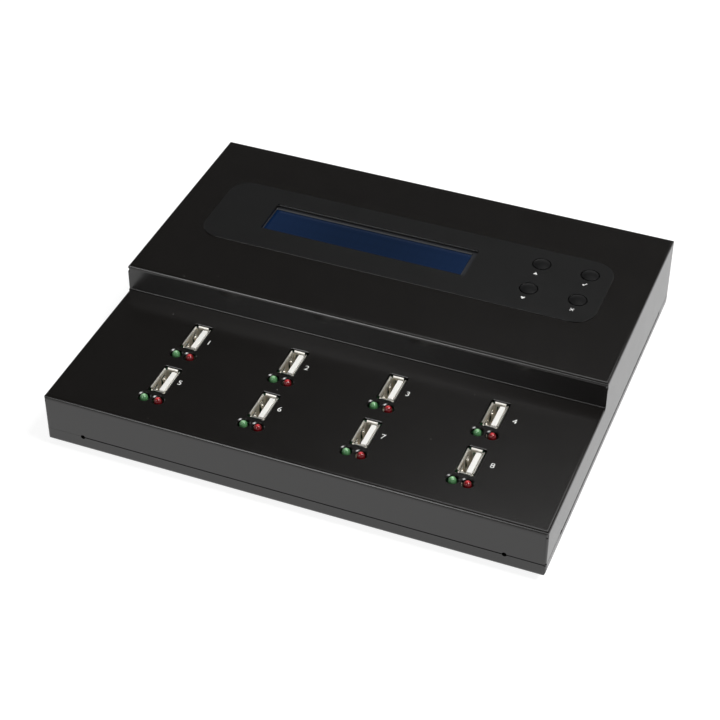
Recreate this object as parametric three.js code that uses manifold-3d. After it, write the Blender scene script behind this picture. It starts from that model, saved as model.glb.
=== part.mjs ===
// Stand-alone duplicator for USB flash drives.
//
// A low black sheet-steel casing with a stepped top. The front deck holds two rows of upright
// USB sockets, each with a green and a red lamp before it. The raised panel behind holds a
// character display and four round keys under a thin panel film. The power inlet and a rocker
// switch are in the rear wall. The casing is a welded cover over a shallow pan, with joggled
// lips on the pan that reach up behind the cover's skirt.
//
// Millimetres. X runs left to right, Y from the front to the rear, Z up.

import * as THREE from 'three';
import { mergeVertices } from 'three/addons/utils/BufferGeometryUtils.js';
import Module from 'manifold-3d';

const wasm = await Module();
wasm.setup();

// Driving dimensions

const casing = {
  width: 195.7,
  depth: 167.9,
  height: 32.7,
  deckHeight: 21.3,
  deckDepth: 70.7,
  sheet: 1,
  bendRadius: 1.6,
  innerBendRadius: 0.6,
  edgeRadius: 1.1,
  cornerRadius: 1.2,
};

// Gaps between pieces that rest, slide or turn on each other, and how far a cutter overshoots.
const fit = {
  seat: 0.1,
  glue: 0.05,
  running: 0.3,
  seam: 0.4,
  overrun: 2,
};

// Small notches where two bends of the cover meet at a corner.
const cornerRelief = {
  diameter: 1.5,
  height: 1.6,
  drop: 1.2,
};

const pan = {
  flange: 5.6,
  sideRadius: 2.5,
  endRadius: 1.6,
  cornerSlit: 0.3,
};

// Joggled lips of the pan, and the round relief at each end of a lip.
const lip = {
  top: 13,
  joggleRise: 0.5,
  joggleDrop: 0.2,
  sideInset: 15.2,
  frontInset: 18,
  rearInset: 15,
  reliefDiameter: 1.8,
};

// Upright USB sockets: two rows of four. The rows share what is left of the deck's depth.
const port = {
  columns: 4,
  rows: 2,
  leftMargin: 37.905,
  rightMargin: 36.805,
  pitchY: 27.22,
  frontGapShare: 0.5208,
  cutoutWidth: 7.4,
  cutoutDepth: 15.2,
  cutoutRadius: 0.6,
};

// Shell of a socket. Its walls flare out at the mouth, which is flush with the deck.
const shell = {
  width: 5.8,
  depth: 13.2,
  height: 12.85,
  wall: 0.35,
  radius: 0.9,
  flare: 0.4,
  flareHeight: 0.9,
};

// Spring leaves cut from the shell's walls.
const leaf = {
  width: 2.2,
  endWidth: 1.7,
  length: 5.6,
  topDrop: 2.2,
  slot: 0.45,
  offset: 3.1,
  bulge: 0.75,
  endBulge: 0.35,
  thickness: 0.3,
};

const insert = {
  slack: 0.12,
  baseHeight: 3.6,
  tongueWidth: 1.84,
  tongueDepth: 11.1,
  tongueGap: 0.4,
  tongueDrop: 0.6,
  tipChamfer: 0.3,
  contactWidth: 1,
  contactPitchInner: 2,
  contactPitchOuter: 2.5,
  contactThickness: 0.22,
  contactDrop: 1,
};

// Lamps: a green and a red 3 mm LED before each socket.
const lamp = {
  diameter: 3,
  flangeDiameter: 3.8,
  flangeHeight: 1,
  bodyHeight: 5.3,
  proud: 1.3,
  offsetX: 2.85,
  offsetY: 12,
  holeDiameter: 4.6,
  holeShiftX: -0.2,
  holeShiftY: 0.5,
  leadSize: 0.5,
  leadPitch: 2.54,
};

// Display window in the upper panel.
const windowCut = {
  width: 87.3,
  depth: 17.7,
  radius: 0.5,
  shiftY: 2.95,
};

const display = {
  shiftX: -1.1,
  shiftY: -1.75,
  openingWidth: 84.6,
  openingDepth: 18.6,
  bezelWidth: 98.5,
  bezelDepth: 25.5,
  bezelHeight: 6,
  bezelSheet: 0.5,
  bezelRadius: 0.8,
  cellMargin: 0.3,
  boardWidth: 116,
  boardDepth: 37,
  boardThickness: 1.6,
  headerWidth: 41,
  headerDepth: 2.5,
  headerHeight: 2,
  headerInset: 3,
};

// Margins of the film outside the window and the keys.
const film = {
  leftMargin: 22.7,
  rightMargin: 9.05,
  frontMargin: 13.8,
  rearMargin: 9.7,
  radius: 9,
  thickness: 0.25,
};

const key = {
  pitchX: 19.8,
  pitchY: 17,
  shiftY: 4,
  holeDiameter: 7.6,
  capDiameter: 6.8,
  proud: 0.7,
  dome: 0.45,
  flangeDiameter: 9.4,
  flangeHeight: 1,
  stemDiameter: 3.4,
  travel: 0.5,
};

// What the display's board and the keys leave of the casing's inner width: the gap at the left
// wall and the gap between them. The rest lies at the right wall.
const upperGapShares = { left: 0.3756, middle: 0.2142 };

const tact = {
  size: 6,
  height: 4,
  boreDiameter: 4,
  stemReach: 1,
  floorGap: 0.4,
};

const mainBoard = {
  wallGap: 14.85,
  thickness: 1.6,
  lampMargin: 3,
  rearMargin: 5,
  radius: 1.5,
};

const standoff = {
  diameter: 6,
  inset: 5,
  screwHead: 5.6,
  screwHeadHeight: 1.8,
};

// The control board has a notch over the tall power inlet and switch.
const controlBoard = {
  wallGap: 4.85,
  depth: 64,
  rearMargin: 3.4,
  thickness: 1.6,
  radius: 1.5,
  notchGap: 1,
};

// Welded studs that carry the control board, each set in from the board's nearest edges.
const stud = {
  diameter: 6,
  leftRear: { side: 3, rear: 22.2 },
  leftFront: { side: 3.8, front: 5.2 },
  middle: { x: -3.7, rear: 3.8 },
  right: { side: 3.9, rear: 9 },
};

// Chips, coil and drums on the main board. The controller lies behind the sockets, the drums and
// the memory behind the controller, the coil before the power inlet.
const chip = {
  controller: 20,
  controllerHeight: 1.6,
  controllerSetback: 31.3,
  hub: 9,
  hubHeight: 1,
  hubX: 42,
  memoryWidth: 22,
  memoryDepth: 10,
  memoryHeight: 1.2,
  memoryX: 34,
  memorySetback: 20,
  coil: 12,
  coilHeight: 6,
  coilShift: 4,
  coilRearInset: 30.9,
  drum: 8,
  drumHeight: 9,
  drumX: 22,
  drumPitch: 11,
  drumSetback: 9,
  sink: 0.2,
};

// Flat cable between the two boards, and the plug housing at each end of it.
const ribbon = {
  width: 20,
  thickness: 0.9,
  centreX: -20,
  plugWidth: 22,
  plugDepth: 6,
  lowerPlugHeight: 5,
  upperPlugHeight: 4,
  upperPlugInset: 18.5,
  reach: 42,
};

// Power inlet: a barrel socket with a centre pin.
const inlet = {
  boardInset: 20,
  width: 9,
  height: 11,
  depth: 14,
  plateDepth: 3,
  axisHeight: 6.5,
  barrelDiameter: 8.6,
  boreDiameter: 6.3,
  boreDepth: 9.5,
  pinDiameter: 2,
  pinDrop: 0.6,
  wallHole: 8.4,
};

const powerSwitch = {
  inletPitch: 24,
  width: 14.8,
  height: 9.6,
  depth: 11,
  wall: 0.8,
  pocketDepth: 7,
  radius: 0.6,
};

const rocker = {
  endRadius: 6.3,
  width: 7.4,
  pivotDepth: 1.7,
  valley: 2.2,
  keel: 2.3,
  keelHalfWidth: 2.4,
  keelRise: 0.7,
  pinDiameter: 1.6,
  pinLength: 0.5,
};
const rockerAngles = {
  crest: THREE.MathUtils.degToRad(28),
  skirt: THREE.MathUtils.degToRad(-12),
  tilt: THREE.MathUtils.degToRad(8),
};

const foot = {
  diameter: 10,
  height: 2.5,
  chamfer: 0.5,
  taper: 0.4,
  sideMargin: 17.85,
  frontMargin: 24,
  rearMargin: 20,
};

const screw = {
  headDiameter: 5.6,
  headHeight: 2,
  headRound: 0.6,
  shankDiameter: 2.9,
  recessLength: 3,
  recessWidth: 0.7,
  recessDepth: 1.1,
  slack: 0.2,
  clearance: 0.25,
};

// Screws from below enter two posts under the deck; two more enter the rear lip.
const post = {
  sideMargin: 9.85,
  frontMargin: 10,
  diameter: 7,
  boreDepth: 9,
  screwLength: 7,
};
const rearScrew = {
  sideMargin: 23.85,
  z: 9.6,
  length: 4,
};

// Points of the LED's dome as shares of a quarter turn, and of a key cap's crown as shares of
// the cap's radius and of the crown's height.
const domeShares = [0.4, 0.75];
const crownShares = [[1, -0.5], [0.93, 0.2], [0.6, 0.75]];

// Facets of round forms.
const facets = { bend: Math.PI / 12, corner: Math.PI / 4, hole: 20, small: 12, lamp: 10, turned: 16 };

// Heights and places that follow from the sizes above

const coverBase = pan.flange + fit.seam;
const innerTop = casing.height - casing.sheet;
const innerRear = casing.depth - casing.sheet;
const boardTop = casing.deckHeight - shell.height - fit.glue;
const boardBottom = boardTop - mainBoard.thickness;
const bezelTop = innerTop - fit.seat;
const bezelBottom = bezelTop - display.bezelHeight;
const displayBoardTop = bezelBottom - fit.seat;
const displayBoardBottom = displayBoardTop - display.boardThickness;
const controlTop = displayBoardBottom - display.headerHeight - fit.seat;
const controlBottom = controlTop - controlBoard.thickness;
const filmTop = casing.height + fit.glue + film.thickness;
const rearFace = innerRear - fit.running;
const overallDepth = casing.depth + fit.seat + screw.headHeight;
const screwHole = screw.shankDiameter + 2 * screw.clearance;
const coverScrewZ = casing.sheet + fit.seat;

// Height of an LED's flange above the main board, less the film of solder under its leads.
const lampBase = casing.deckHeight + lamp.proud - lamp.bodyHeight - boardTop;
const lampDrop = lampBase - fit.glue;

// Sockets, from the rear row's left end to the front row's right end.
const lampReach = lamp.offsetY - lamp.holeShiftY + lamp.holeDiameter / 2;
const rowsDepth = (port.rows - 1) * port.pitchY + port.cutoutDepth / 2 + lampReach;
const frontRowY = (casing.deckDepth - rowsDepth) * port.frontGapShare + lampReach;
const rearRowY = frontRowY + (port.rows - 1) * port.pitchY;
const portLeft = port.leftMargin - casing.width / 2;
const portSpan = casing.width - port.leftMargin - port.rightMargin;
const ports = [];
for (let row = port.rows - 1; row >= 0; row -= 1) {
  for (let column = 0; column < port.columns; column += 1) {
    ports.push({
      x: portLeft + (portSpan * column) / (port.columns - 1),
      y: frontRowY + row * port.pitchY,
    });
  }
}

// Display, window, keys and film across the upper panel.
const innerWidth = casing.width - 2 * casing.sheet;
const upperGap = innerWidth - display.boardWidth - key.pitchX;
const displayX = upperGap * upperGapShares.left + display.boardWidth / 2 - innerWidth / 2;
const windowX = displayX - display.shiftX;
const leftKeyX = displayX + display.boardWidth / 2 + upperGap * upperGapShares.middle;
const rightKeyX = leftKeyX + key.pitchX;
const panelMiddle = (casing.deckDepth + casing.depth) / 2;
const windowY = panelMiddle + windowCut.shiftY;
const displayY = windowY + display.shiftY;
const frontKeyY = panelMiddle + key.shiftY - key.pitchY / 2;
const rearKeyY = frontKeyY + key.pitchY;
const panelKeys = [
  { name: 'up', x: leftKeyX, y: rearKeyY },
  { name: 'ok', x: rightKeyX, y: rearKeyY },
  { name: 'down', x: leftKeyX, y: frontKeyY },
  { name: 'esc', x: rightKeyX, y: frontKeyY },
];
const filmLeft = windowX - windowCut.width / 2 - film.leftMargin;
const filmRight = rightKeyX + film.rightMargin;
const filmFront = frontKeyY - film.frontMargin;
const filmRear = rearKeyY + film.rearMargin;

// Main board, its standoffs, and what sits along its rear edge.
const boardHalf = casing.width / 2 - casing.sheet - mainBoard.wallGap;
const boardFront = frontRowY - lamp.offsetY - mainBoard.lampMargin;
const boardRear = casing.depth - mainBoard.rearMargin;
const standoffX = boardHalf - standoff.inset;
const standoffs = [-standoffX, standoffX].flatMap((x) => [
  [x, boardFront + standoff.inset],
  [x, (boardFront + boardRear) / 2],
  [x, boardRear - standoff.inset],
]);
const inletX = inlet.boardInset - boardHalf;
const switchX = inletX + powerSwitch.inletPitch;
const controllerY = rearRowY + chip.controllerSetback;

// Control board and the studs above it.
const controlHalf = casing.width / 2 - casing.sheet - controlBoard.wallGap;
const controlRear = casing.depth - controlBoard.rearMargin;
const controlFront = controlRear - controlBoard.depth;
const studs = [
  [stud.leftRear.side - controlHalf, controlRear - stud.leftRear.rear],
  [stud.leftFront.side - controlHalf, controlFront + stud.leftFront.front],
  [stud.middle.x, controlRear - stud.middle.rear],
  [controlHalf - stud.right.side, controlRear - stud.right.rear],
];
const upperPlugY = controlRear - ribbon.upperPlugInset;
const lowerPlugY = upperPlugY - ribbon.reach;

// Feet and screws.
const footX = casing.width / 2 - foot.sideMargin;
const postX = casing.width / 2 - post.sideMargin;
const rearScrewX = casing.width / 2 - rearScrew.sideMargin;

// Outlines

/** Closed outline through corners [u, v, radius], each rounded by its own radius. */
function filleted(corners, arcStep = facets.bend) {
  const origin = new THREE.Vector2();
  const points = [];
  corners.forEach(([u, v, radius = 0], i) => {
    const here = new THREE.Vector2(u, v);
    if (radius <= 0) {
      points.push(here);
      return;
    }
    const before = corners[(i + corners.length - 1) % corners.length];
    const after = corners[(i + 1) % corners.length];
    const back = new THREE.Vector2(before[0], before[1]).sub(here).normalize();
    const ahead = new THREE.Vector2(after[0], after[1]).sub(here).normalize();
    const half = Math.acos(back.dot(ahead)) / 2;
    const centre = back.clone().add(ahead).normalize().multiplyScalar(radius / Math.sin(half)).add(here);
    const start = here.clone().addScaledVector(back, radius / Math.tan(half)).sub(centre);
    const end = here.clone().addScaledVector(ahead, radius / Math.tan(half)).sub(centre);
    const sweep = Math.atan2(start.cross(end), start.dot(end));
    const steps = Math.max(1, Math.round(Math.abs(sweep) / arcStep));
    for (let k = 0; k <= steps; k += 1) {
      points.push(start.clone().rotateAround(origin, (sweep * k) / steps).add(centre));
    }
  });
  return new THREE.Shape(points);
}

/** Rectangle centred on (u, v), its corners rounded. */
function plate(width, height, radius = 0, u = 0, v = 0, arcStep = facets.corner) {
  return filleted([
    [u - width / 2, v - height / 2, radius],
    [u + width / 2, v - height / 2, radius],
    [u + width / 2, v + height / 2, radius],
    [u - width / 2, v + height / 2, radius],
  ], arcStep);
}

/** Round outline centred on (u, v). */
function disc(diameter, u = 0, v = 0, count = facets.hole) {
  const points = [];
  for (let k = 0; k < count; k += 1) {
    const angle = (2 * Math.PI * k) / count;
    points.push(new THREE.Vector2(u + (diameter / 2) * Math.cos(angle), v + (diameter / 2) * Math.sin(angle)));
  }
  return new THREE.Shape(points);
}

// Solids

/** Solid of a closed three.js geometry, for joining and cutting. */
function solid(geometry) {
  const bare = new THREE.BufferGeometry();
  bare.setAttribute('position', geometry.getAttribute('position'));
  bare.setIndex(geometry.getIndex());
  const welded = mergeVertices(bare);
  const index = welded.getIndex().array;
  const triangles = [];
  for (let i = 0; i < index.length; i += 3) {
    const [a, b, c] = [index[i], index[i + 1], index[i + 2]];
    if (a !== b && b !== c && c !== a) triangles.push(a, b, c);
  }
  return new wasm.Manifold(new wasm.Mesh({
    numProp: 3,
    vertProperties: Float32Array.from(welded.getAttribute('position').array),
    triVerts: Uint32Array.from(triangles),
  }));
}

function extruded(shape, from, to) {
  const geometry = new THREE.ExtrudeGeometry(shape, { depth: to - from, bevelEnabled: false });
  return geometry.translate(0, 0, from);
}

const axisX = new THREE.Vector3(1, 0, 0);
const axisY = new THREE.Vector3(0, 1, 0);
const axisZ = new THREE.Vector3(0, 0, 1);
const turnToX = new THREE.Matrix4().makeBasis(axisY, axisZ, axisX);
const turnToY = new THREE.Matrix4().makeBasis(axisX, axisZ, axisY.clone().negate());

/** Prism along X of an outline drawn in (y, z). */
const alongX = (shape, from, to) => solid(extruded(shape, from, to).applyMatrix4(turnToX));

/** Prism along Y of an outline drawn in (x, z). */
const alongY = (shape, from, to) => solid(extruded(shape, -to, -from).applyMatrix4(turnToY));

/** Prism along Z of an outline drawn in (x, y). */
const alongZ = (shape, from, to) => solid(extruded(shape, from, to));

/** Body turned about Z from a profile of (radius, z) points that starts and ends on the axis. */
function turned(profile, count = facets.turned) {
  const points = profile.map(([radius, z]) => new THREE.Vector2(radius, z));
  return solid(new THREE.LatheGeometry(points, count).rotateX(Math.PI / 2));
}

/** Solid between two outlines of as many points, the first at one height, the second at another. */
function lofted(lower, upper, from, to) {
  const low = lower.getPoints();
  const high = upper.getPoints();
  const count = low.length;
  const positions = [
    ...low.flatMap((p) => [p.x, p.y, from]),
    ...high.flatMap((p) => [p.x, p.y, to]),
  ];
  const index = [];
  THREE.ShapeUtils.triangulateShape(low, []).forEach(([a, b, c]) => {
    index.push(a, c, b, a + count, b + count, c + count);
  });
  for (let k = 0; k < count; k += 1) {
    const next = (k + 1) % count;
    index.push(k, next, next + count, k, next + count, k + count);
  }
  const geometry = new THREE.BufferGeometry();
  geometry.setAttribute('position', new THREE.Float32BufferAttribute(positions, 3));
  geometry.setIndex(index);
  return solid(geometry);
}

const joined = (first, ...others) => others.reduce((sum, body) => sum.add(body), first);
const cut = (first, ...others) => others.reduce((rest, body) => rest.subtract(body), first);

/** Named mesh of a finished solid. */
function piece(name, body, material) {
  const { vertProperties, triVerts } = body.getMesh();
  const geometry = new THREE.BufferGeometry();
  geometry.setAttribute('position', new THREE.BufferAttribute(vertProperties, 3));
  geometry.setIndex(new THREE.BufferAttribute(triVerts, 1));
  geometry.computeVertexNormals();
  const mesh = new THREE.Mesh(geometry, material);
  mesh.name = name;
  return mesh;
}

// Materials

const finish = (color, roughness, metalness = 0) => new THREE.MeshStandardMaterial({
  color,
  roughness,
  metalness,
  flatShading: true,
});
const materials = {
  paint: finish(0x1c1b1a, 0.45, 0.2),
  nickel: finish(0xcfcdc6, 0.25, 1),
  ivory: finish(0xf1f0ea, 0.5),
  green: finish(0x2f9a55, 0.2),
  red: finish(0xb0141f, 0.2),
  film: finish(0x222425, 0.35),
  cell: finish(0x14305c, 0.15),
  bezel: finish(0x111214, 0.5, 0.6),
  laminate: finish(0x14532b, 0.4),
  keys: finish(0x1a1a1b, 0.5),
  plastic: finish(0x151516, 0.55),
  rubber: finish(0x1b1b1b, 0.9),
  steel: finish(0x2a2a2b, 0.4, 0.9),
  cable: finish(0x9b9b97, 0.6),
};

// Casing

/** The casing's full stepped form, all faces drawn in by a distance, standing on a given height. */
function steppedForm(inset, base) {
  const left = inset - casing.width / 2;
  const right = casing.width / 2 - inset;
  const front = inset;
  const rear = casing.depth - inset;
  const deck = casing.deckHeight - inset;
  const top = casing.height - inset;
  const riser = casing.deckDepth + inset;
  const bend = Math.max(casing.bendRadius - inset, 0);
  const edge = Math.max(casing.edgeRadius - inset, 0);
  const corner = Math.max(casing.cornerRadius - inset, 0);
  const side = filleted([
    [front, base],
    [rear, base],
    [rear, top, bend],
    [riser, top, bend],
    [riser, deck, casing.innerBendRadius + inset],
    [front, deck, bend],
  ]);
  const across = (height) => filleted([
    [left, base],
    [right, base],
    [right, height, edge],
    [left, height, edge],
  ]);
  const plan = plate(right - left, rear - front, corner, 0, casing.depth / 2);
  const upperFront = casing.deckDepth - casing.innerBendRadius;
  return alongX(side, left, right)
    .intersect(joined(
      alongY(across(deck), front, rear),
      alongY(across(top), upperFront, rear),
    ))
    .intersect(alongZ(plan, base, top));
}

/** Round reliefs at the ends of the pan's lips, as they cut the front and rear walls, then the sides. */
function lipReliefs() {
  const z = pan.flange + fit.seam / 2;
  const x = casing.width / 2 - lip.sideInset;
  const yFront = lip.frontInset;
  const yRear = casing.depth - lip.rearInset;
  const wallCut = casing.sheet + fit.overrun;
  const reliefs = [];
  [-x, x].forEach((u) => {
    const round = disc(lip.reliefDiameter, u, z, facets.small);
    reliefs.push(alongY(round, -fit.overrun, wallCut));
    reliefs.push(alongY(round, casing.depth - wallCut, casing.depth + fit.overrun));
  });
  [yFront, yRear].forEach((v) => {
    const round = disc(lip.reliefDiameter, v, z, facets.small);
    reliefs.push(alongX(round, -casing.width / 2 - fit.overrun, wallCut - casing.width / 2));
    reliefs.push(alongX(round, casing.width / 2 - wallCut, casing.width / 2 + fit.overrun));
  });
  return reliefs;
}

function buildCover() {
  const hollow = steppedForm(casing.sheet, coverBase - fit.overrun);
  const skin = cut(steppedForm(0, coverBase), hollow);

  const deckCuts = ports.flatMap(({ x, y }) => {
    const low = casing.deckHeight - casing.sheet - fit.overrun;
    const high = casing.deckHeight + fit.overrun;
    const socket = plate(port.cutoutWidth, port.cutoutDepth, port.cutoutRadius, x, y);
    const holeX = x + lamp.holeShiftX;
    const holeY = y - lamp.offsetY + lamp.holeShiftY;
    return [
      alongZ(socket, low, high),
      alongZ(disc(lamp.holeDiameter, holeX - lamp.offsetX, holeY, facets.small), low, high),
      alongZ(disc(lamp.holeDiameter, holeX + lamp.offsetX, holeY, facets.small), low, high),
    ];
  });

  const panelLow = innerTop - fit.overrun;
  const panelHigh = casing.height + fit.overrun;
  const sight = plate(windowCut.width, windowCut.depth, windowCut.radius, windowX, windowY);
  const panelCuts = [
    alongZ(sight, panelLow, panelHigh),
    ...panelKeys.map(({ x, y }) => alongZ(disc(key.holeDiameter, x, y), panelLow, panelHigh)),
  ];

  const rearNear = innerRear - fit.overrun;
  const rearFar = casing.depth + fit.overrun;
  const rockerOpening = plate(
    powerSwitch.width - 2 * powerSwitch.wall + fit.running,
    powerSwitch.height - 2 * powerSwitch.wall + fit.running,
    powerSwitch.radius,
    switchX,
    boardTop + fit.glue + powerSwitch.height / 2,
  );
  const rearCuts = [
    alongY(rockerOpening, rearNear, rearFar),
    alongY(disc(inlet.wallHole, inletX, boardTop + fit.glue + inlet.axisHeight), rearNear, rearFar),
    ...[-rearScrewX, rearScrewX].map((x) => (
      alongY(disc(screwHole, x, rearScrew.z, facets.small), rearNear, rearFar)
    )),
  ];

  const reliefCuts = [];
  [[0, casing.deckHeight], [casing.deckDepth, casing.height]].forEach(([y, top]) => {
    [-casing.width / 2, casing.width / 2].forEach((x) => {
      const round = disc(cornerRelief.diameter, x, y, facets.small);
      reliefCuts.push(alongZ(round, top - cornerRelief.drop - cornerRelief.height, top - cornerRelief.drop));
    });
  });

  // Studs hang from the panel to the control board, posts from the deck to the pan's floor.
  const weld = casing.sheet / 2;
  const boardStuds = studs.map(([x, y]) => (
    alongZ(disc(stud.diameter, x, y, facets.small), controlTop + fit.seat, innerTop + weld)
  ));
  const deckPosts = [-postX, postX].map((x) => cut(
    alongZ(disc(post.diameter, x, post.frontMargin, facets.small), coverScrewZ, casing.deckHeight - weld),
    alongZ(
      disc(screwHole, x, post.frontMargin, facets.small),
      coverScrewZ - fit.overrun,
      coverScrewZ + post.boreDepth,
    ),
  ));
  const open = cut(skin, ...deckCuts, ...panelCuts, ...rearCuts, ...reliefCuts, ...lipReliefs());
  return joined(open, ...boardStuds, ...deckPosts);
}

/** Outer form of the pan, or of its hollow when drawn in by the sheet. */
function panForm(inset, top) {
  const width = casing.width - 2 * inset;
  const depth = casing.depth - 2 * inset;
  const side = Math.max(pan.sideRadius - inset, 0);
  const end = Math.max(pan.endRadius - inset, 0);
  const across = filleted([
    [-width / 2, inset, side],
    [width / 2, inset, side],
    [width / 2, top],
    [-width / 2, top],
  ]);
  const lengthwise = filleted([
    [inset, inset, end],
    [casing.depth - inset, inset, end],
    [casing.depth - inset, top],
    [inset, top],
  ]);
  const plan = plate(width, depth, Math.max(casing.cornerRadius - inset, 0), 0, casing.depth / 2);
  return alongX(lengthwise, -width / 2, width / 2)
    .intersect(alongY(across, inset, casing.depth - inset))
    .intersect(alongZ(plan, inset, top));
}

/** Section of a joggled lip: distance in from the casing's face, then height. */
function lipSection() {
  const start = pan.flange - lip.joggleDrop;
  const inner = casing.sheet + fit.running;
  return [
    [casing.sheet / 4, start],
    [inner, start + lip.joggleRise],
    [inner, lip.top],
    [inner + casing.sheet, lip.top],
    [inner + casing.sheet, start + lip.joggleRise - casing.sheet],
    [casing.sheet, start - casing.sheet],
    [casing.sheet / 2, start - casing.sheet],
  ];
}

function buildPan() {
  const tray = cut(panForm(0, pan.flange), panForm(casing.sheet, pan.flange + fit.overrun));
  const halfWidth = casing.width / 2;
  const x = halfWidth - lip.sideInset;
  const yFront = lip.frontInset;
  const yRear = casing.depth - lip.rearInset;
  const section = lipSection();
  const bite = lip.reliefDiameter / 4;

  // The flange ends at the joggle between the reliefs, and stays full height at the corners.
  const start = pan.flange - lip.joggleDrop;
  const above = pan.flange + fit.overrun;
  const lowered = [
    alongX(filleted([[-fit.overrun, start], [casing.depth + fit.overrun, start],
      [casing.depth + fit.overrun, above], [-fit.overrun, above]]), -x, x),
    alongY(filleted([[-halfWidth - fit.overrun, start], [halfWidth + fit.overrun, start],
      [halfWidth + fit.overrun, above], [-halfWidth - fit.overrun, above]]), yFront, yRear),
  ];
  const lips = [
    alongX(filleted(section), bite - x, x - bite),
    alongX(filleted(section.map(([inward, z]) => [casing.depth - inward, z])), bite - x, x - bite),
    alongY(filleted(section.map(([inward, z]) => [inward - halfWidth, z])), yFront + bite, yRear - bite),
    alongY(filleted(section.map(([inward, z]) => [halfWidth - inward, z])), yFront + bite, yRear - bite),
  ];

  // Open corners: the side flanges stop just short of the front and rear flanges.
  const slits = [];
  const slitFloor = pan.sideRadius + pan.cornerSlit;
  const flangeInner = casing.sheet - fit.glue;
  const slitInner = halfWidth - casing.sheet - fit.glue;
  [flangeInner, casing.depth - flangeInner - pan.cornerSlit].forEach((y) => {
    const opening = filleted([
      [y, slitFloor],
      [y + pan.cornerSlit, slitFloor],
      [y + pan.cornerSlit, above],
      [y, above],
    ]);
    slits.push(alongX(opening, -halfWidth - fit.overrun, -slitInner));
    slits.push(alongX(opening, slitInner, halfWidth + fit.overrun));
  });

  const weld = casing.sheet / 2;
  const pegs = standoffs.map(([u, v]) => (
    alongZ(disc(standoff.diameter, u, v, facets.small), weld, boardBottom - fit.seat)
  ));
  const holes = [-postX, postX].map((u) => (
    alongZ(disc(screwHole, u, post.frontMargin, facets.small), -fit.overrun, casing.sheet + fit.overrun)
  ));
  const lipNear = innerRear - fit.running - casing.sheet - fit.overrun;
  const lipFar = innerRear + fit.overrun;
  const threads = [-rearScrewX, rearScrewX].map((u) => (
    alongY(disc(screw.shankDiameter + screw.slack, u, rearScrew.z, facets.small), lipNear, lipFar)
  ));
  const notchFloor = boardTop - fit.running;
  const notch = (width, u) => alongY(
    filleted([
      [u - width / 2 - fit.running, notchFloor],
      [u + width / 2 + fit.running, notchFloor],
      [u + width / 2 + fit.running, lip.top + fit.overrun],
      [u - width / 2 - fit.running, lip.top + fit.overrun],
    ]),
    lipNear,
    innerRear,
  );
  return cut(
    joined(cut(tray, ...lowered), ...lips, ...pegs),
    ...slits,
    ...holes,
    ...threads,
    ...lipReliefs(),
    notch(inlet.width, inletX),
    notch(powerSwitch.width, switchX),
  );
}

function buildFoot() {
  const radius = foot.diameter / 2;
  return turned([
    [0, 0],
    [radius - foot.taper - foot.chamfer, 0],
    [radius - foot.taper, foot.chamfer],
    [radius, foot.height],
    [0, foot.height],
  ]);
}

/** Pan-head screw along Z: the head's underside at 0, the shank above, a cross recess below. */
function buildScrew(length) {
  const head = screw.headDiameter / 2;
  const shank = screw.shankDiameter / 2;
  const body = turned([
    [0, -screw.headHeight],
    [head - screw.headRound, -screw.headHeight],
    [head, screw.headRound - screw.headHeight],
    [head, 0],
    [shank, 0],
    [shank, length],
    [0, length],
  ], facets.small);
  const floor = screw.recessDepth - screw.headHeight;
  return cut(
    body,
    alongZ(plate(screw.recessLength, screw.recessWidth), -screw.headHeight - fit.overrun, floor),
    alongZ(plate(screw.recessWidth, screw.recessLength), -screw.headHeight - fit.overrun, floor),
  );
}

// USB sockets and lamps, on the main board's top face

/** Bent spring leaf: bulge inwards from a wall's inner face, drawn in (inward, z). */
function leafSection(bulge) {
  const top = shell.height - leaf.topDrop;
  const bottom = top - leaf.length;
  const middle = (top + bottom) / 2;
  return [
    [-shell.wall, bottom - leaf.slot],
    [0, bottom - leaf.slot],
    [bulge, middle],
    [bulge / 2, top],
    [bulge / 2 - leaf.thickness, top],
    [bulge - leaf.thickness, middle],
    [-shell.wall, bottom],
  ];
}

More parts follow.
